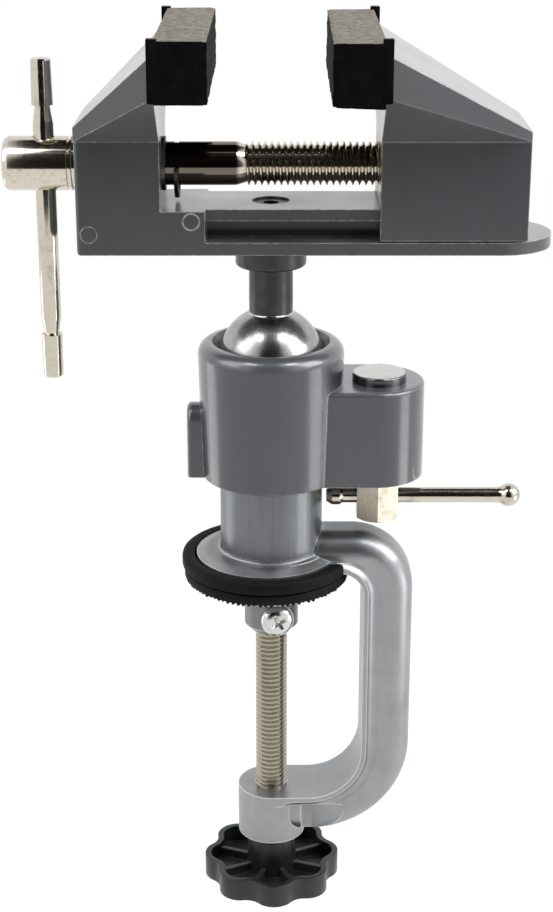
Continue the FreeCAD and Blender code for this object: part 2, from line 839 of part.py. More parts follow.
def make_sliding_jaw():
    bottom = plate_top + slide_gap
    block = box(jaw_inner, jaw_outer, -bed_half, bed_half, bottom, block_top)
    jaw = joined(block, jaw_wedge(jaw_inner, jaw_outer, sliding_end_height))
    wide = rail_half + slide_gap
    narrow = rail_web_half + slide_gap
    near_x = jaw_inner - past
    far_x = jaw_outer + past
    jaw = jaw.cut(box(near_x, far_x, -wide, wide, groove_top - slide_gap, rail_top + slide_gap))
    jaw = jaw.cut(box(near_x, far_x, -narrow, narrow, bottom - past, groove_top))
    jaw = jaw.cut(rod(jaw_bore, near_x, far_x, 0, screw_z))
    jaw = jaw.cut(rod(insert_radius + seat_gap, near_x, jaw_inner + insert_length, 0, screw_z))
    for hole in peg_holes(jaw_inner, 1):
        jaw = jaw.cut(hole)
    return jaw


def make_jaw_nut():
    insert = rod(insert_radius, jaw_inner + face_gap, jaw_inner + insert_length, 0, screw_z)
    return insert.cut(rod(screw_radius + running_gap, jaw_inner - past,
                          jaw_inner + insert_length + past, 0, screw_z))


def make_pad(face_x, direction):
    # Rubber jaw pad: a block with two pegs behind it and hooks round the jaw's ends.
    front_x = face_x + direction * rubber_thickness
    hook_x = face_x - direction * rubber_hook
    low = screw_z + rubber_bottom
    high = screw_z + rubber_top
    block = box(min(face_x, front_x), max(face_x, front_x), -rubber_half, rubber_half, low, high)
    block = rounded(block, rubber_round, lambda edge: True)
    pad = block
    for side in sides:
        inner = side * (jaw_half + seat_gap)
        outer = side * rubber_half
        back = face_x + direction * rubber_round
        hook = box(min(hook_x, back), max(hook_x, back), min(inner, outer), max(inner, outer),
                   low + rubber_round, high - rubber_round)
        peg = Part.makeCylinder(peg_radius, peg_length + rubber_round,
                                Vector(face_x + direction * rubber_round, side * peg_spread,
                                       screw_z + peg_rise), x_axis * -direction)
        pad = joined(pad, hook, peg)
    return pad


def make_main_screw():
    groove_start = bed_inner + ring_place - face_gap / 2
    groove_end = groove_start + ring_thickness + face_gap
    root = screw_radius - screw_depth
    nose_middle = round_middle * barrel_round
    profile = [
        (0, barrel_start),
        (barrel_radius - barrel_round, barrel_start),
        (barrel_radius - nose_middle, barrel_start + nose_middle),
        (barrel_radius, barrel_start + barrel_round),
        (barrel_radius, barrel_end - barrel_flange - barrel_groove),
        (barrel_radius - barrel_groove, barrel_end - barrel_flange - barrel_groove),
        (barrel_radius - barrel_groove, barrel_end - barrel_flange),
        (barrel_radius, barrel_end - barrel_flange),
        (barrel_radius, barrel_end),
        (shoulder_radius, barrel_end),
        (shoulder_radius, shoulder_end),
        (screw_radius, shoulder_end),
        (screw_radius, groove_start),
        (ring_seat, groove_start),
        (ring_seat, groove_end),
        (screw_radius, groove_end),
        (screw_radius, thread_start - thread_runout),
    ]
    profile += thread_profile(screw_radius, screw_depth, screw_pitch, thread_start,
                              screw_end - screw_end_chamfer)
    profile += [
        (root, screw_end - screw_end_chamfer),
        (root - screw_end_chamfer, screw_end),
        (0, screw_end),
    ]
    screw = turned_on_x(profile, screw_z)
    return screw.cut(post(bar_radius + running_gap, screw_z - barrel_radius - past,
                          screw_z + barrel_radius + past, bar_hole_x))


def make_thrust_washer():
    disc = rod(washer_radius, bed_inner, bed_inner + washer_thickness, 0, screw_z)
    return disc.cut(rod(screw_radius + face_gap, bed_inner - past, 0, 0, screw_z))


def make_retaining_ring():
    # Clip in the screw's groove: a rim with three tabs, its mouth leaning to the front.
    start = bed_inner + ring_place
    end = start + ring_thickness
    near_x = start - past
    far_x = end + past
    tab_reach = ring_radius - ring_rim / 2
    rim = rod(ring_radius, start, end, 0, screw_z)
    rim = rim.cut(rod(ring_radius - ring_rim, near_x, far_x, 0, screw_z))
    side_tabs = box(start, end, -tab_reach, tab_reach, screw_z + ring_tab_low,
                    screw_z + ring_tab_high)
    foot_tab = box(start, end, -ring_foot, ring_foot, screw_z - tab_reach, screw_z)
    mouth = box(near_x, far_x, -ring_mouth, ring_mouth, screw_z + ring_tab_high,
                screw_z + ring_radius + past)
    clip = joined(rim.cut(mouth), side_tabs, foot_tab)
    clip = clip.cut(rod(ring_seat + running_gap, near_x, far_x, 0, screw_z))
    clip.rotate(Vector(0, 0, screw_z), x_axis, ring_turn)
    return clip


def make_tommy_bar():
    top = screw_z + bar_rise
    bottom = top - bar_length
    profile = [
        (0, top),
        (bar_cap_top_radius - bar_chamfer, top),
        (bar_cap_top_radius, top - bar_chamfer),
        (bar_cap_radius, top - bar_cap_length),
        (bar_neck_radius, top - bar_cap_length),
        (bar_radius, top - bar_cap_length - bar_neck_length),
        (bar_radius, bottom + bar_cap_length + bar_neck_length),
        (bar_neck_radius, bottom + bar_cap_length),
        (bar_cap_radius, bottom + bar_cap_length),
        (bar_cap_top_radius, bottom + bar_chamfer),
        (bar_cap_top_radius - bar_chamfer, bottom),
        (0, bottom),
    ]
    return turned_on_z(profile, bar_hole_x)


pieces = {
    "c_frame": make_c_frame,
    "upper_pad": make_upper_pad,
    "foot_disc": make_foot_disc,
    "foot_pad": make_foot_pad,
    "foot_screw": make_foot_screw,
    "clamp_screw": make_clamp_screw,
    "knob": make_knob,
    "housing": make_housing,
    "clamp_wedge": make_clamp_wedge,
    "clamp_shoe": make_clamp_shoe,
    "draw_bolt": make_draw_bolt,
    "lock_nut": make_lock_nut,
    "lock_bar": make_lock_bar,
    "ball_seat": make_ball_seat,
    "ball": make_ball,
    "ball_stem": make_ball_stem,
    "stem_screw": make_stem_screw,
    "bed": make_bed,
    "fixed_pad": lambda: make_pad(bed_inner, 1),
    "sliding_jaw": make_sliding_jaw,
    "moving_pad": lambda: make_pad(jaw_inner, -1),
    "jaw_nut": make_jaw_nut,
    "main_screw": make_main_screw,
    "thrust_washer": make_thrust_washer,
    "retaining_ring": make_retaining_ring,
    "tommy_bar": make_tommy_bar,
}

os.makedirs("parts", exist_ok=True)
for name, make in pieces.items():
    shape = make()
    shape.exportStep("parts/" + name + ".step")
    bounds = shape.BoundBox
    print(name, "valid" if shape.isValid() else "NOT VALID", "solids", len(shape.Solids),
          "volume", round(shape.Volume, 1),
          "x", round(bounds.XMin, 2), round(bounds.XMax, 2),
          "y", round(bounds.YMin, 2), round(bounds.YMax, 2),
          "z", round(bounds.ZMin, 2), round(bounds.ZMax, 2))
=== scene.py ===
import math
import random

import bpy
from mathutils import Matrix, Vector


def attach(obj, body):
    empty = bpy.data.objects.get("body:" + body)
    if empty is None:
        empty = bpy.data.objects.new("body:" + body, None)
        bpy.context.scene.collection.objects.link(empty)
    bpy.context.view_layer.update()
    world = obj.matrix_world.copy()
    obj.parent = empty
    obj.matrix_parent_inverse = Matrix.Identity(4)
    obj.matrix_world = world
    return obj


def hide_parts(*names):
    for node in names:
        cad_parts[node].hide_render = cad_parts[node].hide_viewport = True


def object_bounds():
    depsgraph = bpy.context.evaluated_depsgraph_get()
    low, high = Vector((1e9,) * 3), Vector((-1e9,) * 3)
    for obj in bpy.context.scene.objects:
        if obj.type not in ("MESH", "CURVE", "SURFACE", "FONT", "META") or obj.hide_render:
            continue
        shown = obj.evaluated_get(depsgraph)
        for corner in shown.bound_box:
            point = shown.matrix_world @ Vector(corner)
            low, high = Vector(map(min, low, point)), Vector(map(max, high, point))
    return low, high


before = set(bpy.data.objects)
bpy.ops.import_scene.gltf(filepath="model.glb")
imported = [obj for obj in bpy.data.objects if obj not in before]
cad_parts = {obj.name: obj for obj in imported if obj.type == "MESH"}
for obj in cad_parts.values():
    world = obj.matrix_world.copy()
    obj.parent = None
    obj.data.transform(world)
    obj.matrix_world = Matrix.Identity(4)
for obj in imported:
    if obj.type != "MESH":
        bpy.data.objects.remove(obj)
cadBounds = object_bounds()
mm = 0.001
weldGap = 0.002 * mm           # points nearer than this become one
flatAngle = math.radians(0.4)  # faces that bend less than this become one
castAngle = math.radians(28)   # edges of a casting that bend more than this are rounded
print("frame loaded")


# Selecting and shaping

def deselectAll():
    if bpy.context.object and bpy.context.object.mode != "OBJECT":
        bpy.ops.object.mode_set(mode="OBJECT")
    bpy.ops.object.select_all(action="DESELECT")


def only(piece):
    deselectAll()
    piece.select_set(True)
    bpy.context.view_layer.objects.active = piece


def pick(piece, kind, test):
    # Leaves the piece in edit mode, with the faces, edges or points that pass the test.
    only(piece)
    bpy.ops.object.mode_set(mode="EDIT")
    bpy.ops.mesh.select_mode(type=kind)
    bpy.ops.mesh.select_all(action="DESELECT")
    bpy.ops.object.mode_set(mode="OBJECT")
    parts = {"FACE": piece.data.polygons, "EDGE": piece.data.edges, "VERT": piece.data.vertices}
    for part in parts[kind]:
        part.select = test(part)
    bpy.ops.object.mode_set(mode="EDIT")


def facesDown(face):
    return face.normal.z < -0.9


def modify(piece, kind, **settings):
    only(piece)
    modifier = piece.modifiers.new(kind.title(), kind)
    for key, value in settings.items():
        setattr(modifier, key, value)
    bpy.ops.object.modifier_apply(modifier=modifier.name)


def combine(piece, other, operation):
    modify(piece, "BOOLEAN", operation=operation, solver="EXACT", object=other)
    bpy.data.objects.remove(other)


def applyPlace(piece):
    only(piece)
    bpy.ops.object.transform_apply(location=True, rotation=True, scale=True)


def roundEdges(piece, width, segments, angle=32):
    modify(piece, "BEVEL", width=width, segments=segments, limit_method="ANGLE",
           angle_limit=math.radians(angle), use_clamp_overlap=False, miter_outer="MITER_ARC")


def softenEdges(piece, width, segments, angle=castAngle):
    # Rounds the edges as far as the faces beside them allow, on shapes with narrow faces.
    modify(piece, "BEVEL", width=width, segments=segments, limit_method="ANGLE",
           angle_limit=angle, use_clamp_overlap=True)


def smooth(piece, angle, weighted=False):
    only(piece)
    bpy.ops.object.shade_smooth_by_angle(angle=math.radians(angle))
    if weighted:
        modify(piece, "WEIGHTED_NORMAL", keep_sharp=True, weight=60)


def outward(piece):
    only(piece)
    bpy.ops.object.mode_set(mode="EDIT")
    bpy.ops.mesh.select_all(action="SELECT")
    bpy.ops.mesh.remove_doubles(threshold=weldGap)
    bpy.ops.mesh.normals_make_consistent(inside=False)
    bpy.ops.object.mode_set(mode="OBJECT")


def dress(piece, finish, body, slotName, *nodes):
    piece.data.materials.clear()
    piece.data.materials.append(finish.material)
    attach(piece, body)
    if nodes:
        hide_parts(*nodes)


def turned(name, profile, centre=(0, 0, 0), points=64):
    # A disc drawn out upwards, ring after ring: profile is (radius, height) in mm.
    profile = [(radius * mm, height * mm) for radius, height in profile]
    radius, height = profile[0]
    deselectAll()
    bpy.ops.mesh.primitive_circle_add(vertices=points, radius=radius, fill_type="NGON",
                                      location=(0, 0, height))
    piece = bpy.context.object
    piece.name = name
    applyPlace(piece)
    bpy.ops.object.mode_set(mode="EDIT")
    bpy.ops.mesh.select_mode(type="FACE")
    bpy.ops.mesh.select_all(action="SELECT")
    for nextRadius, nextHeight in profile[1:]:
        bpy.ops.mesh.extrude_region_move(
            TRANSFORM_OT_translate={"value": (0, 0, nextHeight - height)})
        share = nextRadius / radius
        bpy.ops.transform.resize(value=(share, share, 1), center_override=(0, 0, nextHeight))
        radius, height = nextRadius, nextHeight
    bpy.ops.object.mode_set(mode="OBJECT")
    outward(piece)
    return placed(piece, centre)


def block(name, low, high):
    deselectAll()
    middle = (Vector(low) + Vector(high)) / 2
    bpy.ops.mesh.primitive_cube_add(size=1, location=middle)
    piece = bpy.context.object
    piece.name = name
    piece.scale = Vector(high) - Vector(low)
    applyPlace(piece)
    return piece


def strip(name, points):
    # A line of edges through the points, drawn out from one corner.
    deselectAll()
    bpy.ops.mesh.primitive_plane_add(size=mm, location=points[0])
    piece = bpy.context.object
    piece.name = name
    applyPlace(piece)
    bpy.ops.object.mode_set(mode="EDIT")
    bpy.ops.mesh.select_mode(type="VERT")
    bpy.ops.mesh.select_all(action="SELECT")
    bpy.ops.mesh.merge(type="CENTER")
    for here, there in zip(points, points[1:]):
        bpy.ops.mesh.extrude_vertices_move(
            TRANSFORM_OT_translate={"value": Vector(there) - Vector(here)})
    bpy.ops.object.mode_set(mode="OBJECT")
    return piece


def placed(piece, centre, lyingAlongX=False):
    # Moves a piece made upright to its place, laid down first where asked.
    if lyingAlongX:
        piece.rotation_euler = (0, math.pi / 2, 0)
    piece.location = centre
    applyPlace(piece)
    return piece


def copyOf(piece, name):
    twin = piece.copy()
    twin.data = piece.data.copy()
    twin.name = name
    bpy.context.scene.collection.objects.link(twin)
    return twin


def spinCopies(piece, count, turn=0.0):
    # The piece and its copies, evenly round the upright axis.
    copies = []
    for number in range(count):
        twin = copyOf(piece, piece.name + "Copy")
        twin.rotation_euler = (0, 0, math.radians(turn) + number * 2 * math.pi / count)
        applyPlace(twin)
        copies.append(twin)
    bpy.data.objects.remove(piece)
    return copies


def joinAll(pieces, name):
    deselectAll()
    for piece in pieces:
        piece.select_set(True)
    bpy.context.view_layer.objects.active = pieces[0]
    bpy.ops.object.join()
    pieces[0].name = name
    return pieces[0]


def tubeAlong(name, points, radius):
    # A round bar that follows the points, its ends closed.
    tube = strip(name, points)
    only(tube)
    bpy.ops.object.convert(target="CURVE")
    tube = bpy.context.object
    tube.data.bevel_depth = radius
    tube.data.bevel_resolution = 6
    tube.data.use_fill_caps = True
    bpy.ops.object.convert(target="MESH")
    outward(tube)
    return tube


def arcPoints(middle, radius, start, end, steps):
    # Points of an arc seen from the front, its angles in degrees from the right.
    points = []
    for step in range(steps + 1):
        angle = math.radians(start + (end - start) * step / steps)
        points.append((middle[0] + radius * math.cos(angle), middle[1],
                       middle[2] + radius * math.sin(angle)))
    return points


def threadedRod(name, radius, depth, pitch, low, high, flat=0.16, steps=40):
    # One ridge of the thread, wound up by the pitch at each turn and cut off square. Its crest
    # and its root are each as wide as flat says, as a share of the pitch.
    root = radius - depth
    slope = (1 - 2 * flat) / 2 * pitch
    turns = int((high - low) / pitch) + 2
    start = low - pitch
    ridge = strip(name, [(root, 0, start), (radius, 0, start + slope),
                         (radius, 0, start + slope + flat * pitch),
                         (root, 0, start + 2 * slope + flat * pitch),
                         (root, 0, start + pitch)])
    modify(ridge, "SCREW", axis="Z", angle=2 * math.pi, steps=steps, render_steps=steps,
           screw_offset=pitch, iterations=turns)
    only(ridge)
    bpy.ops.object.mode_set(mode="EDIT")
    bpy.ops.mesh.select_all(action="SELECT")
    bpy.ops.mesh.remove_doubles(threshold=weldGap)
    for level, up in ((low, False), (high, True)):
        bpy.ops.mesh.select_all(action="SELECT")
        bpy.ops.mesh.bisect(plane_co=(0, 0, level), plane_no=(0, 0, 1), use_fill=True,
                            clear_inner=not up, clear_outer=up)
    bpy.ops.mesh.select_all(action="SELECT")
    bpy.ops.mesh.normals_make_consistent(inside=False)
    bpy.ops.object.mode_set(mode="OBJECT")
    return ridge


def cleanCopy(node, name):
    # The node's own shape, its loose triangles welded and its flats made whole.
    piece = bpy.data.objects.new(name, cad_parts[node].data.copy())
    bpy.context.scene.collection.objects.link(piece)
    only(piece)
    if piece.data.has_custom_normals:
        bpy.ops.mesh.customdata_custom_splitnormals_clear()
    bpy.ops.object.mode_set(mode="EDIT")
    bpy.ops.mesh.select_all(action="SELECT")
    bpy.ops.mesh.remove_doubles(threshold=weldGap)
    bpy.ops.mesh.dissolve_limited(angle_limit=flatAngle)
    bpy.ops.object.mode_set(mode="OBJECT")
    return piece


# Shader maths: a socket that takes part in sums, and a node tree that adds the nodes for them

class Wire:
    def __init__(self, nodes, socket):
        self.nodes = nodes
        self.socket = socket

    def __add__(self, other):
        return self.nodes.sum("ADD", self, other)

    __radd__ = __add__

    def __sub__(self, other):
        return self.nodes.sum("SUBTRACT", self, other)

    def __rsub__(self, other):
        return self.nodes.sum("SUBTRACT", other, self)

    def __mul__(self, other):
        return self.nodes.sum("MULTIPLY", self, other)

    __rmul__ = __mul__


class NodeSet:
    def __init__(self, owner):
        owner.use_nodes = True
        self.tree = owner.node_tree

    def add(self, kind, settings=None, inputs=None, output=0):
        node = self.tree.nodes.new(kind)
        for key, value in (settings or {}).items():
            setattr(node, key, value)
        for key, value in (inputs or {}).items():
            self.connect(node.inputs[key], value)
        return Wire(self, node.outputs[output])

    def connect(self, socket, value):
        if isinstance(value, Wire):
            self.tree.links.new(value.socket, socket)
        else:
            socket.default_value = value

    def sum(self, operation, first, second):
        return self.add("ShaderNodeMath", {"operation": operation}, {0: first, 1: second})

    def spread(self, value, low, high, toLow=0, toHigh=1):
        # The part of value between low and high, made to run from toLow to toHigh.
        return self.add("ShaderNodeMapRange", {"clamp": True}, {
            0: value, 1: low, 2: high, 3: toLow, 4: toHigh})

    def seenRays(self):
        # One where the background shows: straight, in gloss and through glass.
        straight = self.add("ShaderNodeLightPath", output="Is Camera Ray")
        gloss = self.add("ShaderNodeLightPath", output="Is Glossy Ray")
        through = self.add("ShaderNodeLightPath", output="Is Transmission Ray")
        return self.sum("MAXIMUM", self.sum("MAXIMUM", straight, gloss), through)


class Finish(NodeSet):
    def __init__(self, name, **constants):
        self.material = bpy.data.materials.new(name)
        super().__init__(self.material)
        self.shader = self.tree.nodes["Principled BSDF"]
        self.place = self.add("ShaderNodeTexCoord", output="Object")
        for socketName, value in constants.items():
            self.feed(socketName.replace("_", " "), value)

    def feed(self, socketName, value):
        self.connect(self.shader.inputs[socketName], value)

    def stretched(self, x, y, z):
        return self.add("ShaderNodeVectorMath", {"operation": "MULTIPLY"},
                        {0: self.place, 1: (x, y, z)})

    def grain(self, size, detail=3, roughness=0.55, place=None):
        # Noise whose lumps are about size across.
        return self.add("ShaderNodeTexNoise", None, {
            "Vector": place or self.place, "Scale": 1 / size,
            "Detail": detail, "Roughness": roughness})

    def blend(self, amount, first, second):
        return self.add("ShaderNodeMix", {"data_type": "RGBA"},
                        {0: amount, 6: first, 7: second}, output=2)

    def facing(self, axis):
        normal = self.add("ShaderNodeTexCoord", output="Normal")
        return self.add("ShaderNodeSeparateXYZ", None, {0: normal}, output=axis)

    def along(self, axis):
        return self.add("ShaderNodeSeparateXYZ", None, {0: self.place}, output=axis)

    def edges(self, width, flat=0.995, bent=0.90):
        # One on outer edges and corners, from the bent normal against the true one.
        soft = self.add("ShaderNodeBevel", {"samples": 4}, {"Radius": width})
        true = self.add("ShaderNodeNewGeometry", output="Normal")
        alike = self.add("ShaderNodeVectorMath", {"operation": "DOT_PRODUCT"},
                         {0: soft, 1: true}, output="Value")
        return self.spread(alike, flat, bent)

    def relief(self, height, depth, strength):
        return self.add("ShaderNodeBump", None, {
            "Strength": strength, "Distance": depth, "Height": height})


def colour(red, green, blue):
    # A colour as it is read off a screen, as the shader wants it.
    def linear(value):
        value = value / 255
        return value / 12.92 if value < 0.04045 else ((value + 0.055) / 1.055) ** 2.4
    return (linear(red), linear(green), linear(blue), 1)


# Finishes

# The dust tone is partly dust and partly a painted sheen on faces that look up.
headPaint = {"deep": (59, 60, 64), "light": (68, 69, 73), "paleTone": (205, 206, 208),
             "metallic": 0.25, "coat": 1.0, "coatRoughness": 0.22, "cloud": 11 * mm,
             "orangePeel": 0.7 * mm, "dustAndSheen": (160, 162, 165), "dustSheenShare": 0.30,
             "gloss": (0.32, 0.42), "peelDepth": 0.010 * mm}
housingPaint = {"deep": (61, 64, 69), "light": (68, 72, 77), "paleTone": (205, 206, 208),
                "metallic": 0.30, "coat": 1.0, "coatRoughness": 0.16, "cloud": 13 * mm,
                "orangePeel": 0.9 * mm, "dustAndSheen": (160, 162, 165), "dustSheenShare": 0.20,
                "gloss": (0.26, 0.34), "peelDepth": 0.008 * mm}
# The pale edge tone is partly bare metal and partly a painted highlight along the rounded
# edges; edge is its width.
paintWearAndHighlight = {"speck": 0.5 * mm, "rubbed": 1.6 * mm, "edge": 0.4 * mm}


def paint(name, settings):
    finish = Finish(name, Specular_IOR_Level=0.5, Metallic=settings["metallic"],
                    Coat_Roughness=settings["coatRoughness"])
    cloud = finish.spread(finish.grain(settings["cloud"], 4), 0.3, 0.7)
    speck = finish.spread(finish.grain(paintWearAndHighlight["speck"], 2), 0.35, 0.75)
    mixed = 0.7 * cloud + 0.3 * speck
    plain = finish.blend(mixed, colour(*settings["deep"]), colour(*settings["light"]))
    rubbed = finish.spread(finish.grain(paintWearAndHighlight["rubbed"], 4, 0.7), 0.42, 0.62)
    # Painted sheen and dust: faces that look up are paled towards the dust tone, partly real
    # dust and partly a painted sheen standing in for the glare they catch from above.
    upward = finish.spread(finish.facing(2), 0.03, 0.2)
    plain = finish.blend(settings["dustSheenShare"] * upward, plain, colour(*settings["dustAndSheen"]))
    # Painted highlight and wear: the edges are paled to the edge tone, partly rubbed-through
    # paint and partly a painted highlight along the rounded edges.
    edgeWearAndHighlight = (0.25 + 0.65 * rubbed) * finish.edges(paintWearAndHighlight["edge"])
    finish.feed("Base Color", finish.blend(edgeWearAndHighlight, plain, colour(*settings["paleTone"])))
    low, high = settings["gloss"]
    finish.feed("Roughness", low + (high - low) * cloud + 0.05 * speck)
    finish.feed("Coat Weight", settings["coat"] * (1 - 0.2 * cloud))
    peel = finish.grain(settings["orangePeel"], 2)
    finish.feed("Normal", finish.relief(peel, settings["peelDepth"], 0.5))
    return finish


# rim and bright are the width and tone of a painted highlight along the rounded edges.
castMetal = {"deep": (144, 146, 148), "light": (164, 166, 168), "cloud": 9 * mm,
             "post": (112, 115, 118), "postFrom": 7.2 * mm, "postRadius": 12.75 * mm,
             "rim": 0.55 * mm, "bright": (238, 240, 242),
             "armFrom": 6.6 * mm, "armNear": 24 * mm, "armFar": 32 * mm,
             "flow": 2.5 * mm, "streak": 0.8 * mm, "pit": 0.9 * mm, "pitTone": (96, 98, 100),
             "skin": 0.45 * mm, "skinDepth": 0.012 * mm, "gloss": (0.30, 0.38)}


def castAluminium(name, settings):
    # Bare casting: clouded and pitted, darker and streaked on the post and the upper arm, with
    # a painted highlight on its rounded edges.
    finish = Finish(name, Metallic=0.85)
    cloud = finish.spread(finish.grain(settings["cloud"], 4), 0.3, 0.7)
    flow = finish.spread(finish.grain(settings["flow"], 3, place=finish.stretched(1, 1, 0.2)),
                         0.3, 0.7)
    skin = finish.grain(settings["skin"], 3)
    pits = finish.spread(finish.grain(settings["pit"], 5, 0.75), 0.70, 0.76)
    mixed = 0.6 * cloud + 0.4 * flow
    plain = finish.blend(mixed, colour(*settings["deep"]), colour(*settings["light"]))
    fromAxis = finish.add("ShaderNodeVectorMath", {"operation": "LENGTH"},
                          {0: finish.stretched(1, 1, 0)}, output="Value")
    onPost = (finish.spread(finish.along(2), settings["postFrom"], settings["postFrom"] + mm)
              * finish.spread(fromAxis, settings["postRadius"] + 0.2 * mm,
                              settings["postRadius"]))
    streaks = finish.spread(
        finish.grain(settings["streak"], 4, place=finish.stretched(1, 1, 0.04)), 0.3, 0.7)
    plain = finish.blend(onPost * (0.75 + 0.25 * streaks), plain, colour(*settings["post"]))
    onArm = (finish.spread(finish.along(2), settings["armFrom"], settings["armFrom"] + mm)
             * finish.spread(fromAxis, settings["armFar"], settings["armNear"])
             * finish.spread(fromAxis, settings["postRadius"], settings["postRadius"] + mm))
    plain = finish.blend(0.8 * onArm, plain, colour(*settings["post"]))
    # Painted highlight: the rounded edges are paled towards the bright tone, standing in for
    # the glint of light along them.
    rim = finish.edges(settings["rim"])
    plain = finish.blend(0.5 * pits, plain, colour(*settings["pitTone"]))
    finish.feed("Base Color", finish.blend(0.85 * rim, plain, colour(*settings["bright"])))
    low, high = settings["gloss"]
    finish.feed("Roughness", low + (high - low) * flow + 0.04 * cloud)
    finish.feed("Normal", finish.relief(skin - 1.5 * pits, settings["skinDepth"], 0.45))
    return finish


plating = {"warm": (206, 199, 184), "stain": (150, 140, 120), "cloud": 3.5 * mm}
turnedMarks = {"size": 0.12 * mm, "depth": 0.004 * mm}


def platedSteel(name, settings, roughness=(0.10, 0.22), drawn=(1, 1, 1), oiled=None,
                shadedSides=None):
    # Nickel with faint stains and fine marks drawn along one way.
    finish = Finish(name, Metallic=1.0)
    cloud = finish.spread(finish.grain(settings["cloud"], 5, 0.65), 0.52, 0.78)
    marks = finish.spread(
        finish.grain(turnedMarks["size"], 2, place=finish.stretched(*drawn)), 0.35, 0.7)
    plain = finish.blend(0.55 * cloud, colour(*settings["warm"]), colour(*settings["stain"]))
    low, high = roughness
    gloss = low + (high - low) * cloud + 0.05 * marks
    # Painted shade: over this span the shank is darkened, standing in for the dark it reflects
    # from inside the head, and it is made a little smoother.
    if oiled:
        onShaft = (finish.spread(finish.along(0), oiled["from"], oiled["from"] + mm)
                   * finish.spread(finish.along(0), oiled["to"], oiled["to"] - mm))
        plain = finish.blend(onShaft, plain, colour(*oiled["tone"]))
        gloss = gloss - oiled["smoother"] * onShaft
    # Painted shade: faces that do not look up are darkened towards the side tone, and the top
    # keeps the plain tone.
    if shadedSides:
        plain = finish.blend(finish.spread(finish.facing(2), 0.6, 0.95), colour(*shadedSides), plain)
    finish.feed("Base Color", plain)
    finish.feed("Roughness", gloss)
    finish.feed("Normal", finish.relief(marks, turnedMarks["depth"], 0.35))
    return finish


rubberMix = {"deep": (9, 9, 10), "paleTone": (17, 17, 17), "dustAndSheen": (128, 124, 115),
             "cloud": 3 * mm, "pore": 0.25 * mm, "poreDepth": 0.05 * mm,
             "settled": 1.3 * mm, "crumb": 0.5 * mm}


def rubber(name, settings, dustAndSheen=0.0, shine=0.14):
    # Moulded rubber: a fine matt skin, with dust and a painted sheen on what faces up.
    finish = Finish(name, Specular_IOR_Level=shine)
    cloud = finish.spread(finish.grain(settings["cloud"], 5), 0.35, 0.7)
    pores = finish.grain(settings["pore"], 4, 0.7)
    plain = finish.blend(cloud, colour(*settings["deep"]), colour(*settings["paleTone"]))
    # Painted sheen and dust: faces that look up are paled towards the dust tone, partly real
    # dust and partly a painted sheen for the glare they catch.
    upward = finish.spread(finish.facing(2), 0.75, 0.98)
    settled = finish.spread(finish.grain(settings["settled"], 5, 0.7), 0.2, 0.6)
    crumbs = finish.spread(finish.grain(settings["crumb"], 3, 0.6), 0.68, 0.74)
    dustAndSheenShare = dustAndSheen * upward * settled * (1 - 0.8 * crumbs)
    finish.feed("Base Color", finish.blend(dustAndSheenShare, plain, colour(*settings["dustAndSheen"])))
    finish.feed("Roughness", 0.55 + 0.2 * pores)
    finish.feed("Normal", finish.relief(pores, settings["poreDepth"], 0.6))
    return finish


turnedMetal = {"cloud": 3 * mm, "line": 0.15 * mm, "lineDepth": 0.004 * mm}


def plainMetal(name, tint, roughness, drawn=(1, 1, 1)):
    # Turned or polished metal, its gloss a little uneven.
    finish = Finish(name, Metallic=1.0)
    cloud = finish.spread(finish.grain(turnedMetal["cloud"], 4), 0.35, 0.7)
    base = colour(*tint)
    darker = colour(*[0.8 * part for part in tint])
    finish.feed("Base Color", finish.blend(0.6 * cloud, base, darker))
    low, high = roughness
    finish.feed("Roughness", low + (high - low) * cloud)
    lines = finish.grain(turnedMetal["line"], 2, place=finish.stretched(*drawn))
    finish.feed("Normal", finish.relief(lines, turnedMetal["lineDepth"], 0.4))
    return finish


plasticSkin = {"cloud": 4 * mm, "skin": 0.3 * mm, "skinDepth": 0.02 * mm}


def mouldedPlastic(name, deep, light, roughness):
    # Plastic as it leaves the mould: fine skin, tone and gloss a little uneven.
    finish = Finish(name, Specular_IOR_Level=0.5)
    cloud = finish.spread(finish.grain(plasticSkin["cloud"], 4), 0.35, 0.7)
    skin = finish.grain(plasticSkin["skin"], 3)
    finish.feed("Base Color", finish.blend(cloud, colour(*deep), colour(*light)))
    finish.feed("Roughness", roughness + 0.12 * cloud)
    finish.feed("Normal", finish.relief(skin, plasticSkin["skinDepth"], 0.5))
    return finish


headEnamel = paint("headEnamel", headPaint)
housingEnamel = paint("housingEnamel", housingPaint)
castSkin = castAluminium("castAluminium", castMetal)
footSkin = castAluminium("castFoot", {**castMetal, "deep": (112, 114, 116),
                                      "light": (134, 136, 138)})
nickelUp = platedSteel("nickelUpright", plating, drawn=(1, 1, 0.05))
nickelThread = platedSteel("nickelThread", {**plating, "warm": (176, 170, 156)}, (0.2, 0.32),
                           (0.05, 0.05, 1))
nickelScrew = platedSteel("nickelScrew", {**plating, "warm": (210, 202, 188), "cloud": mm},
                          (0.10, 0.20), (1, 0.05, 0.05),
                          oiled={"from": -44 * mm, "to": -7 * mm, "tone": (112, 104, 93),
                                 "smoother": 0.02})
nickelAlong = platedSteel("nickelAlong", plating, drawn=(0.05, 1, 1))
nickelNut = platedSteel("nickelNut", {**plating, "warm": (178, 170, 155),
                                     "stain": (148, 138, 121)}, (0.25, 0.38),
                        (1, 1, 0.04))
brightSteel = platedSteel("brightSteel", {"warm": (212, 212, 211), "stain": (150, 150, 149),
                                          "cloud": 2 * mm}, (0.16, 0.3), (1, 1, 1))
boltSteel = platedSteel("boltSteel", {"warm": (206, 206, 205), "stain": (160, 160, 159),
                                      "cloud": 2 * mm}, (0.24, 0.36), shadedSides=(96, 97, 98))
padRubber = rubber("padRubber", rubberMix)
jawRubber = rubber("jawRubber", rubberMix, dustAndSheen=0.8, shine=0.03)
ballChrome = plainMetal("ballChrome", (172, 172, 174), (0.20, 0.30))
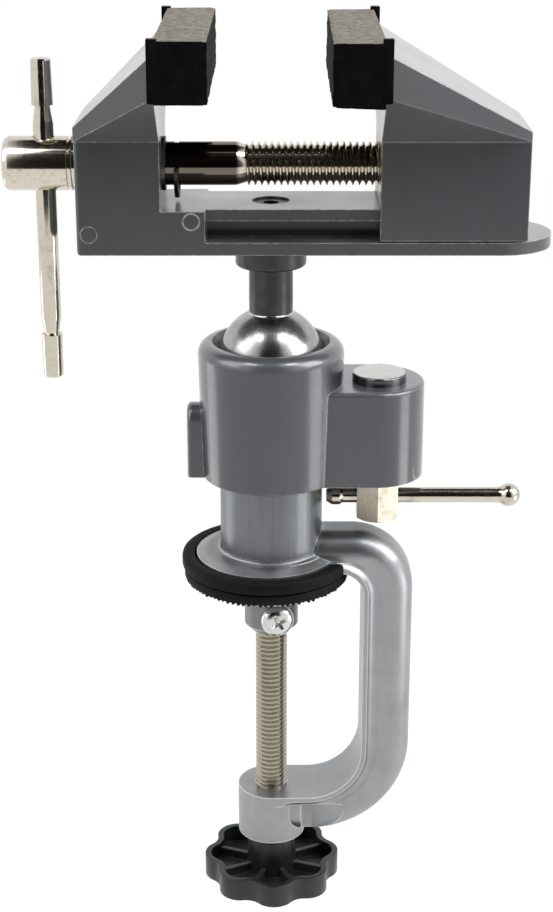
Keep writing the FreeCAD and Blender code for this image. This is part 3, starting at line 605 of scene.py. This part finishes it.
gunmetal = plainMetal("gunmetal", (72, 73, 73), (0.26, 0.4), (0.05, 0.05, 1))
washerSteel = plainMetal("washerSteel", (118, 119, 121), (0.35, 0.5))
darkSteel = plainMetal("darkSteel", (60, 60, 60), (0.3, 0.45))
knobPlastic = mouldedPlastic("knobPlastic", (20, 22, 23), (30, 32, 33), 0.3)
nylon = mouldedPlastic("nylon", (216, 213, 202), (228, 226, 218), 0.4)
nutBrass = plainMetal("nutBrass", (214, 180, 112), (0.25, 0.4))
print("finishes made")

# Jaw pads: a rubber block with an ear round each end of the jaw, its inner face roughcast

jawPad = {"low": 121.1 * mm, "high": 134.7 * mm, "half": 30 * mm, "thick": 11.8 * mm,
          "ear": 1.3 * mm, "earWidth": 1.5 * mm, "earRise": 0.5 * mm, "edge": 0.3 * mm,
          "cuts": 27, "rough": 0.5 * mm, "skin": 0.14 * mm, "lump": 2.2 * mm, "fine": 0.9 * mm,
          "fixedFace": -25.0 * mm, "movingFace": 24.8 * mm, "near": 3 * mm,
          "roughTo": 0.9 * mm, "earRoot": 1 * mm, "smooth": 42}
# How the corners lie, in mm sideways and up: front top, front bottom, back top, back bottom,
# of the inner face and then of the face on the jaw.
fixedCorners = ((0, 0), (0, 0), (0.1, 0.1), (0.1, 0), (0, 0), (0, 0), (0, 0), (0, 0))
movingCorners = ((0.1, -0.45), (0, -0.5), (0.3, -0.4), (0.1, -0.3),
                 (0, -0.5), (-0.1, -0.95), (0, -0.3), (0, -0.3))


def lumps(name, size):
    texture = bpy.data.textures.new(name, "CLOUDS")
    texture.noise_scale = size
    texture.noise_depth = 3
    return texture


roughLumps = lumps("roughLumps", jawPad["lump"])
fineLumps = lumps("fineLumps", jawPad["fine"])


def makeJawPad(name, faceX, way, corners):
    # faceX is where the jaw's own face is, and way is 1 where the pad's inner face looks to +X.
    pad = jawPad
    innerX = faceX + way * pad["thick"]
    low = (min(faceX, innerX), -pad["half"], pad["low"])
    high = (max(faceX, innerX), pad["half"], pad["high"])
    piece = block(name, low, high)
    middle = (pad["low"] + pad["high"]) / 2
    places = [(x, atFront, atTop) for x in (innerX, faceX) for atFront in (True, False)
              for atTop in (True, False)]
    for (x, atFront, atTop), (sideways, up) in zip(places, corners):
        pick(piece, "VERT", lambda point: abs(point.co.x - x) < pad["near"]
             and (point.co.y < 0) == atFront and (point.co.z > middle) == atTop)
        bpy.ops.transform.translate(value=(sideways * mm, 0, up * mm))
    bpy.ops.mesh.select_all(action="SELECT")
    bpy.ops.mesh.subdivide(number_cuts=pad["cuts"])
    bpy.ops.object.mode_set(mode="OBJECT")
    piece.vertex_groups.new(name="inner").add(
        [point.index for point in piece.data.vertices
         if -pad["roughTo"] < way * (point.co.x - innerX) < pad["near"]],
        1.0, "REPLACE")
    roundEdges(piece, pad["edge"], 2, 60)
    modify(piece, "DISPLACE", texture=roughLumps, strength=pad["rough"], mid_level=0.9,
           texture_coords="LOCAL", vertex_group="inner")
    modify(piece, "DISPLACE", texture=fineLumps, strength=pad["skin"], mid_level=0.8,
           texture_coords="LOCAL")
    backX = faceX - way * pad["ear"]
    rootX = faceX + way * pad["earRoot"]
    for side in (-1, 1):
        outer = side * pad["half"]
        inner = side * (pad["half"] - pad["earWidth"])
        ear = block("ear", (min(backX, rootX), min(outer, inner), pad["low"] + pad["edge"]),
                    (max(backX, rootX), max(outer, inner), pad["high"] + pad["earRise"]))
        roundEdges(ear, pad["edge"], 2)
        combine(piece, ear, "UNION")
    smooth(piece, pad["smooth"])
    return piece


fixedPad = makeJawPad("fixedPad", jawPad["fixedFace"], 1, fixedCorners)
dress(fixedPad, jawRubber, "head", "jaw_rubber", "fixed_pad")
movingPad = makeJawPad("movingPad", jawPad["movingFace"], -1, movingCorners)
dress(movingPad, jawRubber, "sliding_jaw", "jaw_rubber", "moving_pad")
print("jaw pads made")

# Upper clamp pad: a rubber cup under the disc, with a moulded line and teeth along its rim

upperPadSizes = {"middle": -1.2 * mm, "notchHalf": 8.9 * mm, "notchStart": 6 * mm,
                 "notchEnd": 30 * mm, "notchLow": 2.4 * mm, "notchTop": 12 * mm,
                 "teeth": 92, "toothIn": 14.3 * mm, "toothOut": 20.15 * mm,
                 "toothWide": 1.0 * mm, "toothLow": -0.5 * mm, "toothTop": 0.3 * mm,
                 "toothTaper": (0.99, 0.6, 1), "toothTurn": 0.5, "toothRise": (-0.12, 0.3),
                 "points": 160, "edge": 0.22 * mm, "smooth": 40}
upperPadProfile = [(19.7, 0.0), (20.15, 0.1), (20.35, 0.45), (20.35, 2.2), (20.1, 2.5),
                   (19.7, 2.6), (19.7, 2.8), (20.5, 2.9), (20.8, 3.1), (20.9, 3.5), (20.9, 5.2),
                   (20.75, 5.7), (20.4, 6.0), (19.9, 6.1), (18.3, 6.0), (17.85, 5.8),
                   (17.7, 5.4), (17.7, 3.7), (17.3, 3.3)]
pad = upperPadSizes
upperPad = turned("upperPad", upperPadProfile, points=pad["points"])
toothDraws = random.Random(7)
tooth = block("tooth", (pad["toothIn"], -pad["toothWide"] / 2, pad["toothLow"]),
              (pad["toothOut"], pad["toothWide"] / 2, pad["toothTop"]))
pick(tooth, "FACE", facesDown)
bpy.ops.transform.resize(value=pad["toothTaper"])
roundEdges(tooth, pad["edge"], 1)
teeth = spinCopies(tooth, pad["teeth"])
for oneTooth in teeth:
    turn = toothDraws.uniform(-pad["toothTurn"], pad["toothTurn"])
    oneTooth.rotation_euler = (0, 0, math.radians(turn))
    oneTooth.location = (0, 0, toothDraws.uniform(*pad["toothRise"]) * mm)
    applyPlace(oneTooth)
upperPad = joinAll([upperPad] + teeth, "upperPad")
placed(upperPad, (pad["middle"], 0, 0))
armNotch = block("armNotch", (pad["notchStart"], -pad["notchHalf"], pad["notchLow"]),
                 (pad["notchEnd"], pad["notchHalf"], pad["notchTop"]))
combine(upperPad, armNotch, "DIFFERENCE")
smooth(upperPad, pad["smooth"])
dress(upperPad, padRubber, "bracket", "clamp_rubber", "upper_pad")
print("upper pad made")

# Clamp spindle: a rolled thread between its plain tip and the end held in the knob

spindle = {"radius": 4.0 * mm, "depth": 0.7 * mm, "pitch": 1.25 * mm, "threadTop": -15.3 * mm,
           "threadLow": -74.6 * mm, "smooth": 24}
spindleTip = [(3.3, -15.8), (3.1, -15.2), (3.1, -11.8), (2.1, -11.8), (2.1, -8.2), (3.1, -8.2),
              (3.1, -4.0), (2.6, -3.5)]
spindleEnd = [(4.0, -84.7), (4.0, -74.4)]
clampSpindle = threadedRod("clampSpindle", spindle["radius"], spindle["depth"],
                           spindle["pitch"], spindle["threadLow"], spindle["threadTop"])
for partName, profile in (("spindleTip", spindleTip), ("spindleEnd", spindleEnd)):
    combine(clampSpindle, turned(partName, profile), "UNION")
smooth(clampSpindle, spindle["smooth"])
dress(clampSpindle, nickelThread, "clamp_spindle", "nickel_steel", "clamp_screw")
print("spindle made")

# Knob: a lobed cup with eight ribs from its hub to the rim

# The outline starts as a circle 1 mm in radius, so its own radii are plain numbers.
knobSizes = {"lobe": 17.5, "shoulder": 16.3, "valley": 15.4, "lobeShare": 0.31, "lobes": 8,
             "perLobe": 20, "turn": 3.0, "bottom": -86.4 * mm, "top": -80.4 * mm,
             "wall": 1.5 * mm, "floor": -84.6 * mm, "rib": 1.2 * mm, "ribTop": -82.2 * mm,
             "ribIn": 4.6 * mm, "ribOut": 15.0 * mm, "ribSunk": 0.5 * mm, "edge": 0.45 * mm,
             "start": 1 * mm, "startReach": 1.5 * mm, "near": 0.4,
             "edgeAngle": math.radians(50), "hubPoints": 96, "smooth": 40}
knobHubProfile = [(6.7, -86.0), (6.5, -84.0), (6.1, -75.2), (5.95, -74.6), (5.5, -74.25),
                  (4.4, -74.2), (4.1, -74.6), (4.1, -84.7)]


def lobeRadius(degrees):
    # Two arcs: one round each lobe, one hollow between two lobes.
    knob = knobSizes
    step = 360 / knob["lobes"]
    shoulder = math.radians(knob["lobeShare"] * step)
    away = math.radians(min(degrees, step - degrees))
    if away <= shoulder:
        x, y = knob["shoulder"] * math.cos(shoulder), knob["shoulder"] * math.sin(shoulder)
        centre = (knob["lobe"] ** 2 - x * x - y * y) / (2 * (knob["lobe"] - x))
        bend = knob["lobe"] - centre
        return centre * math.cos(away) + math.sqrt(bend ** 2 - (centre * math.sin(away)) ** 2)
    fromValley = math.radians(step / 2) - shoulder
    x, y = knob["shoulder"] * math.cos(fromValley), knob["shoulder"] * math.sin(fromValley)
    centre = (x * x + y * y - knob["valley"] ** 2) / (2 * (x - knob["valley"]))
    bend = centre - knob["valley"]
    away = math.radians(step / 2) - away
    return centre * math.cos(away) - math.sqrt(bend ** 2 - (centre * math.sin(away)) ** 2)


def fromLobe(place, step):
    # Degrees round to the nearest lobe's middle.
    degrees = math.degrees(math.atan2(place.y, place.x))
    return min(degrees % step, -degrees % step)


def makeKnob():
    knob = knobSizes
    step = 360 / knob["lobes"]
    deselectAll()
    bpy.ops.mesh.primitive_circle_add(vertices=knob["lobes"] * knob["perLobe"],
                                      radius=knob["start"], fill_type="NGON",
                                      location=(0, 0, knob["bottom"]))
    piece = bpy.context.object
    piece.name = "clampKnob"
    applyPlace(piece)
    # Each point of the circle is moved out once, to its own radius.
    for part in range(knob["perLobe"] // 2 + 1):
        degrees = part * step / knob["perLobe"]
        pick(piece, "VERT", lambda point: point.co.xy.length < knob["startReach"]
             and fromLobe(point.co, step) < degrees + knob["near"])
        share = lobeRadius(degrees)
        bpy.ops.transform.resize(value=(share, share, 1),
                                 center_override=(0, 0, knob["bottom"]))
    bpy.ops.mesh.select_mode(type="FACE")
    bpy.ops.mesh.select_all(action="SELECT")
    bpy.ops.mesh.extrude_region_move(
        TRANSFORM_OT_translate={"value": (0, 0, knob["top"] - knob["bottom"])})
    bpy.ops.mesh.inset(thickness=knob["wall"])
    bpy.ops.mesh.extrude_region_move(
        TRANSFORM_OT_translate={"value": (0, 0, knob["floor"] - knob["top"])})
    bpy.ops.object.mode_set(mode="OBJECT")
    outward(piece)
    rib = block("rib", (knob["ribIn"], -knob["rib"] / 2, knob["floor"] - knob["ribSunk"]),
                (knob["ribOut"], knob["rib"] / 2, knob["ribTop"]))
    for oneRib in spinCopies(rib, knob["lobes"], step / 2):
        combine(piece, oneRib, "UNION")
    piece.rotation_euler = (0, 0, math.radians(knob["turn"]))
    applyPlace(piece)
    combine(piece, turned("knobHub", knobHubProfile, points=knob["hubPoints"]), "UNION")
    softenEdges(piece, knob["edge"], 3, knob["edgeAngle"])
    smooth(piece, knob["smooth"])
    return piece


clampKnob = makeKnob()
dress(clampKnob, knobPlastic, "clamp_spindle", "knob_plastic", "knob")
print("knob made")

# Foot screw: a domed head with a tapered cross, its shank in the spindle's groove

footScrewSizes = {"z": -10 * mm, "hub": 6.7 * mm, "turn": 12.5, "crossTurn": 30.0,
                  "crossArm": 2.5 * mm, "crossHalf": 0.55 * mm, "crossLow": 0.85 * mm,
                  "crossTop": 3 * mm, "crossTaper": (0.3, 0.55, 1), "edge": 0.07 * mm,
                  "smooth": 34}
footScrewProfile = [(1.5, -4.2), (1.5, 0.0), (4.05, 0.0), (4.15, 0.35), (4.05, 0.9),
                    (3.75, 1.4), (3.25, 1.85), (2.6, 2.15), (1.8, 2.33), (0.9, 2.4)]
cross = footScrewSizes
footScrew = turned("footScrew", footScrewProfile)
for crossAngle in (cross["crossTurn"], cross["crossTurn"] + 90):
    arm = block("crossArm", (-cross["crossArm"], -cross["crossHalf"], cross["crossLow"]),
                (cross["crossArm"], cross["crossHalf"], cross["crossTop"]))
    pick(arm, "FACE", facesDown)
    bpy.ops.transform.resize(value=cross["crossTaper"])
    bpy.ops.object.mode_set(mode="OBJECT")
    arm.rotation_euler = (0, 0, math.radians(crossAngle))
    applyPlace(arm)
    combine(footScrew, arm, "DIFFERENCE")
roundEdges(footScrew, cross["edge"], 2, 30)
footScrew.rotation_euler = (math.pi / 2, 0, 0)
footScrew.location = (0, -cross["hub"], cross["z"])
applyPlace(footScrew)
footScrew.rotation_euler = (0, 0, math.radians(cross["turn"]))
applyPlace(footScrew)
smooth(footScrew, cross["smooth"])
dress(footScrew, brightSteel, "clamp_foot", "bright_steel", "foot_screw")
print("foot screw made")

# Main screw: a barrel for the bar, a plain shank with the clip's groove, and a cut thread

screwSizes = {"z": 103 * mm, "radius": 5.0 * mm, "depth": 0.92 * mm, "pitch": 1.5 * mm,
              "threadLow": -5.6 * mm, "threadHigh": 55.0 * mm, "holeX": -52.2 * mm,
              "points": 96, "smooth": 24}
barHoleProfile = [(2.5, 95.0), (2.5, 111.0)]
screwShank = [(4.6, -61.6), (5.15, -61.5), (5.75, -61.15), (6.1, -60.6), (6.25, -60.0),
              (6.25, -46.7), (5.75, -46.6), (5.75, -46.25), (6.25, -46.15), (6.25, -45.65),
              (6.1, -45.5), (5.6, -45.5), (5.6, -44.3), (5.0, -44.3), (5.0, -22.15),
              (4.85, -22.15), (4.85, -21.05), (5.0, -21.05), (5.0, -8.2), (4.9, -7.6),
              (4.3, -5.6), (4.08, -5.2), (4.08, -4.6)]
screwTip = [(4.08, 54.0), (4.08, 55.0), (3.1, 56.0)]
bolt = screwSizes
mainScrew = threadedRod("mainScrew", bolt["radius"], bolt["depth"], bolt["pitch"],
                        bolt["threadLow"], bolt["threadHigh"], steps=48)
for partName, profile in (("shank", screwShank), ("tip", screwTip)):
    combine(mainScrew, turned(partName, profile, points=bolt["points"]), "UNION")
placed(mainScrew, (0, 0, bolt["z"]), lyingAlongX=True)
combine(mainScrew, turned("barHole", barHoleProfile, (bolt["holeX"], 0, 0)), "DIFFERENCE")
smooth(mainScrew, bolt["smooth"])
dress(mainScrew, nickelScrew, "main_screw", "nickel_steel", "main_screw")
print("main screw made")

# Bed and sliding jaw: the castings' own shapes with rounded edges and moulded marks

castHead = {"edge": 0.35 * mm, "segments": 2,
            "marks": ((-41.4, 89.0, 0.06), (-18.1, 92.0, 0.11)),
            "markRadius": 1.9 * mm, "front": -12.5 * mm, "smooth": 30}
viseBed = cleanCopy("bed", "viseBed")
slidingJaw = cleanCopy("sliding_jaw", "slidingJaw")
for casting in (viseBed, slidingJaw):
    softenEdges(casting, castHead["edge"], castHead["segments"])
for markX, markZ, markWidth in castHead["marks"]:
    deselectAll()
    bpy.ops.mesh.primitive_torus_add(
        major_radius=castHead["markRadius"], minor_radius=markWidth * mm,
        major_segments=48, minor_segments=10, rotation=(math.pi / 2, 0, 0),
        location=(markX * mm, castHead["front"], markZ * mm))
    ringMark = bpy.context.object
    applyPlace(ringMark)
    combine(viseBed, ringMark, "UNION")
for casting in (viseBed, slidingJaw):
    smooth(casting, castHead["smooth"], weighted=True)
dress(viseBed, headEnamel, "head", "grey_casting", "bed")
dress(slidingJaw, headEnamel, "sliding_jaw", "grey_casting", "sliding_jaw")
print("head made")

# Ring: the bright bead where the stem meets the ball

stemRing = {"radius": 5.1 * mm, "bead": 0.28 * mm, "z": 67.55 * mm, "lean": 0.985,
            "smooth": 60}
deselectAll()
bpy.ops.mesh.primitive_torus_add(major_radius=stemRing["radius"], minor_radius=stemRing["bead"],
                                 major_segments=64, minor_segments=10,
                                 location=(0, 0, stemRing["z"]))
stemBead = bpy.context.object
stemBead.name = "stemBead"
applyPlace(stemBead)
pick(stemBead, "VERT", lambda point: point.co.z > stemRing["z"]
     and point.co.xy.length > stemRing["radius"])
bpy.ops.transform.resize(value=(stemRing["lean"], stemRing["lean"], 1),
                         center_override=(0, 0, stemRing["z"]))
smooth(stemBead, stemRing["smooth"])
dress(stemBead, brightSteel, "ball_stud", "ball_chrome")
print("stem bead made")

# Clip: the stamped ring, cut flat where it is open

clipCut = {"z": 103 * mm, "lean": 20.2, "reach": 4.7 * mm, "edge": 0.08 * mm, "smooth": 34}
retainingRing = cleanCopy("retaining_ring", "retainingRing")
lean = math.radians(clipCut["lean"])
cutNormal = Vector((0, math.sin(lean), math.cos(lean)))
only(retainingRing)
bpy.ops.object.mode_set(mode="EDIT")
bpy.ops.mesh.select_all(action="SELECT")
bpy.ops.mesh.bisect(plane_co=Vector((0, 0, clipCut["z"])) + cutNormal * clipCut["reach"],
                    plane_no=cutNormal, use_fill=True, clear_outer=True)
bpy.ops.object.mode_set(mode="OBJECT")
roundEdges(retainingRing, clipCut["edge"], 2)
smooth(retainingRing, clipCut["smooth"])
dress(retainingRing, darkSteel, "main_screw", "dark_steel", "retaining_ring")
print("clip made")

# Frame and housing: the castings' own shapes with their corners run round

castEdges = {"frame": 0.45 * mm, "housing": 0.3 * mm, "segments": 3, "smooth": 32}
frameGroove = {"out": 9.2 * mm, "radius": 2.2 * mm, "inset": 3.4 * mm, "throatX": 22.75 * mm,
              "throatTop": 3.3 * mm, "throatLow": -59.5 * mm, "upperRound": 6.0 * mm,
              "lowerRound": 13.5 * mm, "lead": (0.9, 0.55, 0.3, 0.12),
              "end": ((8.0, 0), (6.0, 0.15), (4.8, 0.5), (4.0, 1.1))}
mouthCut = [(12.2, 56.4), (12.9, 57.6), (14.0, 60.1), (14.4, 61.0)]
clampFrame = cleanCopy("c_frame", "clampFrame")
ballHousing = cleanCopy("housing", "ballHousing")
for casting, width in ((clampFrame, castEdges["frame"]), (ballHousing, castEdges["housing"])):
    softenEdges(casting, width, castEdges["segments"])
groove = frameGroove
for front in (-1, 1):
    y = front * groove["out"]
    upperX = groove["throatX"] - groove["upperRound"]
    lowerX = groove["throatX"] - groove["lowerRound"]
    route = arcPoints((upperX, y, groove["throatTop"] - groove["upperRound"]),
                      groove["upperRound"] + groove["inset"], 90, 0, 12)
    route += arcPoints((lowerX, y, groove["throatLow"] + groove["lowerRound"]),
                       groove["lowerRound"] + groove["inset"], 0, -90, 18)
    for step, out in enumerate(groove["lead"]):
        x, alongY, z = route[step]
        route[step] = (x, alongY + front * out * mm, z)
    route += [(x * mm, y + front * out * mm, groove["throatLow"] - groove["inset"])
              for x, out in groove["end"]]
    combine(clampFrame, tubeAlong("frameGroove", route, groove["radius"]), "DIFFERENCE")
combine(ballHousing, turned("mouthCut", mouthCut, points=96), "DIFFERENCE")
for casting in (clampFrame, ballHousing):
    smooth(casting, castEdges["smooth"], weighted=True)
dress(clampFrame, castSkin, "bracket", "cast_aluminium", "c_frame")
dress(ballHousing, housingEnamel, "housing", "grey_enamel", "housing")
print("castings made")

# Pieces that keep their shape: welded copies, smooth over their rounds

plainPieces = {
    "foot_disc": ("footDisc", footSkin, "clamp_foot", "cast_aluminium_foot"),
    "foot_pad": ("footPad", padRubber, "clamp_foot", "clamp_rubber"),
    "clamp_wedge": ("wedgeSleeve", darkSteel, "housing", "dark_steel"),
    "clamp_shoe": ("clampShoe", darkSteel, "housing", "dark_steel"),
    "draw_bolt": ("drawBolt", boltSteel, "housing", "bright_steel"),
    "lock_nut": ("lockNut", nickelNut, "lock_nut", "nickel_steel"),
    "lock_bar": ("lockBar", nickelAlong, "lock_bar", "nickel_steel"),
    "ball_seat": ("ballSeat", nylon, "ball_seat", "white_nylon"),
    "ball": ("ballPolished", ballChrome, "ball_stud", "ball_chrome"),
    "ball_stem": ("ballStem", gunmetal, "ball_stud", "gunmetal"),
    "stem_screw": ("stemScrew", darkSteel, "head", "dark_steel"),
    "jaw_nut": ("jawNut", nutBrass, "sliding_jaw", "nut_brass"),
    "thrust_washer": ("thrustWasher", washerSteel, "head", "dark_steel"),
    "tommy_bar": ("tommyBar", nickelUp, "tommy_bar", "nickel_steel"),
}
for node, (pieceName, finish, body, slotName) in plainPieces.items():
    plain = cleanCopy(node, pieceName)
    smooth(plain, 30)
    dress(plain, finish, body, slotName, node)
print("plain pieces made")

# Studio: floor, lights, dark cards, background and camera

# The floor lies just below the lowest place of the knob, where the clamp screw is run right
# down. Its shadow fades out between clearFrom and clearBy from the middle.
studio = {
    "floor": {"wide": 4.0, "front": -1.0, "back": 3.0, "drop": 44.4 * mm,
              "tone": (228, 228, 227), "light": (240, 240, 239), "grain": 30 * mm,
              "shadowShare": 0.24, "clearFrom": 0.16, "clearBy": 0.42},
    "world": 0.22,
    "aim": (0, 0, 60 * mm),
    "frontCard": {"wide": 0.70, "low": -0.05, "high": 0.95, "y": -0.62, "tone": (20, 20, 20)},
    "roofCards": {"wide": 0.66, "z": 0.97, "spans": ((-0.62, -0.37), (-0.31, 0.60))},
}

lamps = {
    "topLight": {"place": (0.30, 0.30, 1.0), "size": (0.8, 0.5), "power": 12.0, "gloss": False},
    "leftLight": {"place": (-0.78, -0.24, 0.56), "size": (0.6, 0.6), "power": 2.6},
    "rightLight": {"place": (0.78, -0.24, 0.56), "size": (0.6, 0.6), "power": 6.4},
    "lowLeftLight": {"place": (-0.25, 0.073, -0.05), "size": (0.10, 0.12), "power": 0.06},
    "lowRightLight": {"place": (0.25, -0.073, -0.05), "size": (0.10, 0.12), "power": 0.105},
    "highLeftLight": {"place": (-0.40, -0.38, 0.95), "size": (0.28, 0.28), "power": 2.0},
    "highRightLight": {"place": (0.40, -0.38, 0.95), "size": (0.28, 0.28), "power": 3.0},
}


def areaLight(name, place, target, size, power, inGloss=True):
    light = bpy.data.lights.new(name, "AREA")
    light.shape = "RECTANGLE"
    light.size, light.size_y = size
    light.energy = power
    lamp = bpy.data.objects.new(name, light)
    lamp.location = place
    lamp.rotation_euler = (Vector(target) - Vector(place)).to_track_quat("-Z", "Y").to_euler()
    lamp.visible_glossy = inGloss
    lamp.visible_camera = False
    bpy.context.scene.collection.objects.link(lamp)


def sheetPiece(name, low, high, finish):
    # A flat card between two corners that share one coordinate.
    deselectAll()
    bpy.ops.mesh.primitive_plane_add(size=1)
    piece = bpy.context.object
    piece.name = name
    low, high = Vector(low), Vector(high)
    across = high - low
    if abs(across.y) < mm:
        piece.rotation_euler = (math.pi / 2, 0, 0)
        piece.scale = (across.x, across.z, 1)
    else:
        piece.scale = (across.x, across.y, 1)
    piece.location = (low + high) / 2
    applyPlace(piece)
    piece.data.materials.append(finish.material)
    return piece


for lampName, lamp in lamps.items():
    areaLight(lampName, lamp["place"], studio["aim"], lamp["size"], lamp["power"],
              lamp.get("gloss", True))

ground = studio["floor"]
floorHeight = cadBounds[0].z - ground["drop"]
floorFinish = Finish("floorPaper", Roughness=0.9, Specular_IOR_Level=0.1)
paperGrain = floorFinish.spread(floorFinish.grain(ground["grain"], 3), 0.3, 0.7)
floorFinish.feed("Base Color", floorFinish.blend(paperGrain, colour(*ground["tone"]),
                                                 colour(*ground["light"])))
fromFoot = floorFinish.add("ShaderNodeVectorMath", {"operation": "DISTANCE"},
                           {0: floorFinish.place, 1: (0, 0, floorHeight)}, output="Value")
shade = floorFinish.spread(fromFoot, ground["clearFrom"], ground["clearBy"],
                           ground["shadowShare"], 0)
glow = floorFinish.add("ShaderNodeEmission", None, {"Strength": 1.0})
lit = Wire(floorFinish, floorFinish.shader.outputs[0])
floorMix = floorFinish.add("ShaderNodeMixShader", None,
                           {0: floorFinish.seenRays() * (1 - shade), 1: lit, 2: glow})
floorFinish.connect(floorFinish.tree.nodes["Material Output"].inputs[0], floorMix)
sheetPiece("floor", (-ground["wide"] / 2, ground["front"], floorHeight),
           (ground["wide"] / 2, ground["back"], floorHeight), floorFinish)

front, roof = studio["frontCard"], studio["roofCards"]
cardFinish = Finish("darkCard", Roughness=0.9, Specular_IOR_Level=0.1)
cardFinish.feed("Base Color", colour(*front["tone"]))
cards = [sheetPiece("frontCard", (-front["wide"] / 2, front["y"], front["low"]),
                    (front["wide"] / 2, front["y"], front["high"]), cardFinish)]
for near, far in roof["spans"]:
    cards.append(sheetPiece("roofCard", (-roof["wide"] / 2, near, roof["z"]),
                            (roof["wide"] / 2, far, roof["z"]), cardFinish))
    cards[-1].visible_diffuse = False
for cardPiece in cards:
    cardPiece.visible_camera = False
    cardPiece.visible_shadow = False
    cardPiece.visible_transmission = False

world = bpy.data.worlds.new("studioWorld")
bpy.context.scene.world = world
worldNodes = NodeSet(world)
background = worldNodes.tree.nodes["Background"]
background.inputs[0].default_value = (1, 1, 1, 1)
worldNodes.connect(background.inputs[1],
                   worldNodes.spread(worldNodes.seenRays(), 0, 1, studio["world"], 1.0))

camera = {"place": (0.0013, -0.4241, 0.1870), "tilt": 69.8, "lens": 73.03, "sensor": 36.0,
          "nearest": 0.01}
cameraData = bpy.data.cameras.new("camera")
cameraData.lens = camera["lens"]
cameraData.sensor_width = camera["sensor"]
cameraData.clip_start = camera["nearest"]
cameraObject = bpy.data.objects.new("camera", cameraData)
cameraObject.location = camera["place"]
cameraObject.rotation_euler = (math.radians(camera["tilt"]), 0, 0)
bpy.context.scene.collection.objects.link(cameraObject)
bpy.context.scene.camera = cameraObject
bpy.context.scene.view_settings.view_transform = "Standard"
print("studio made")
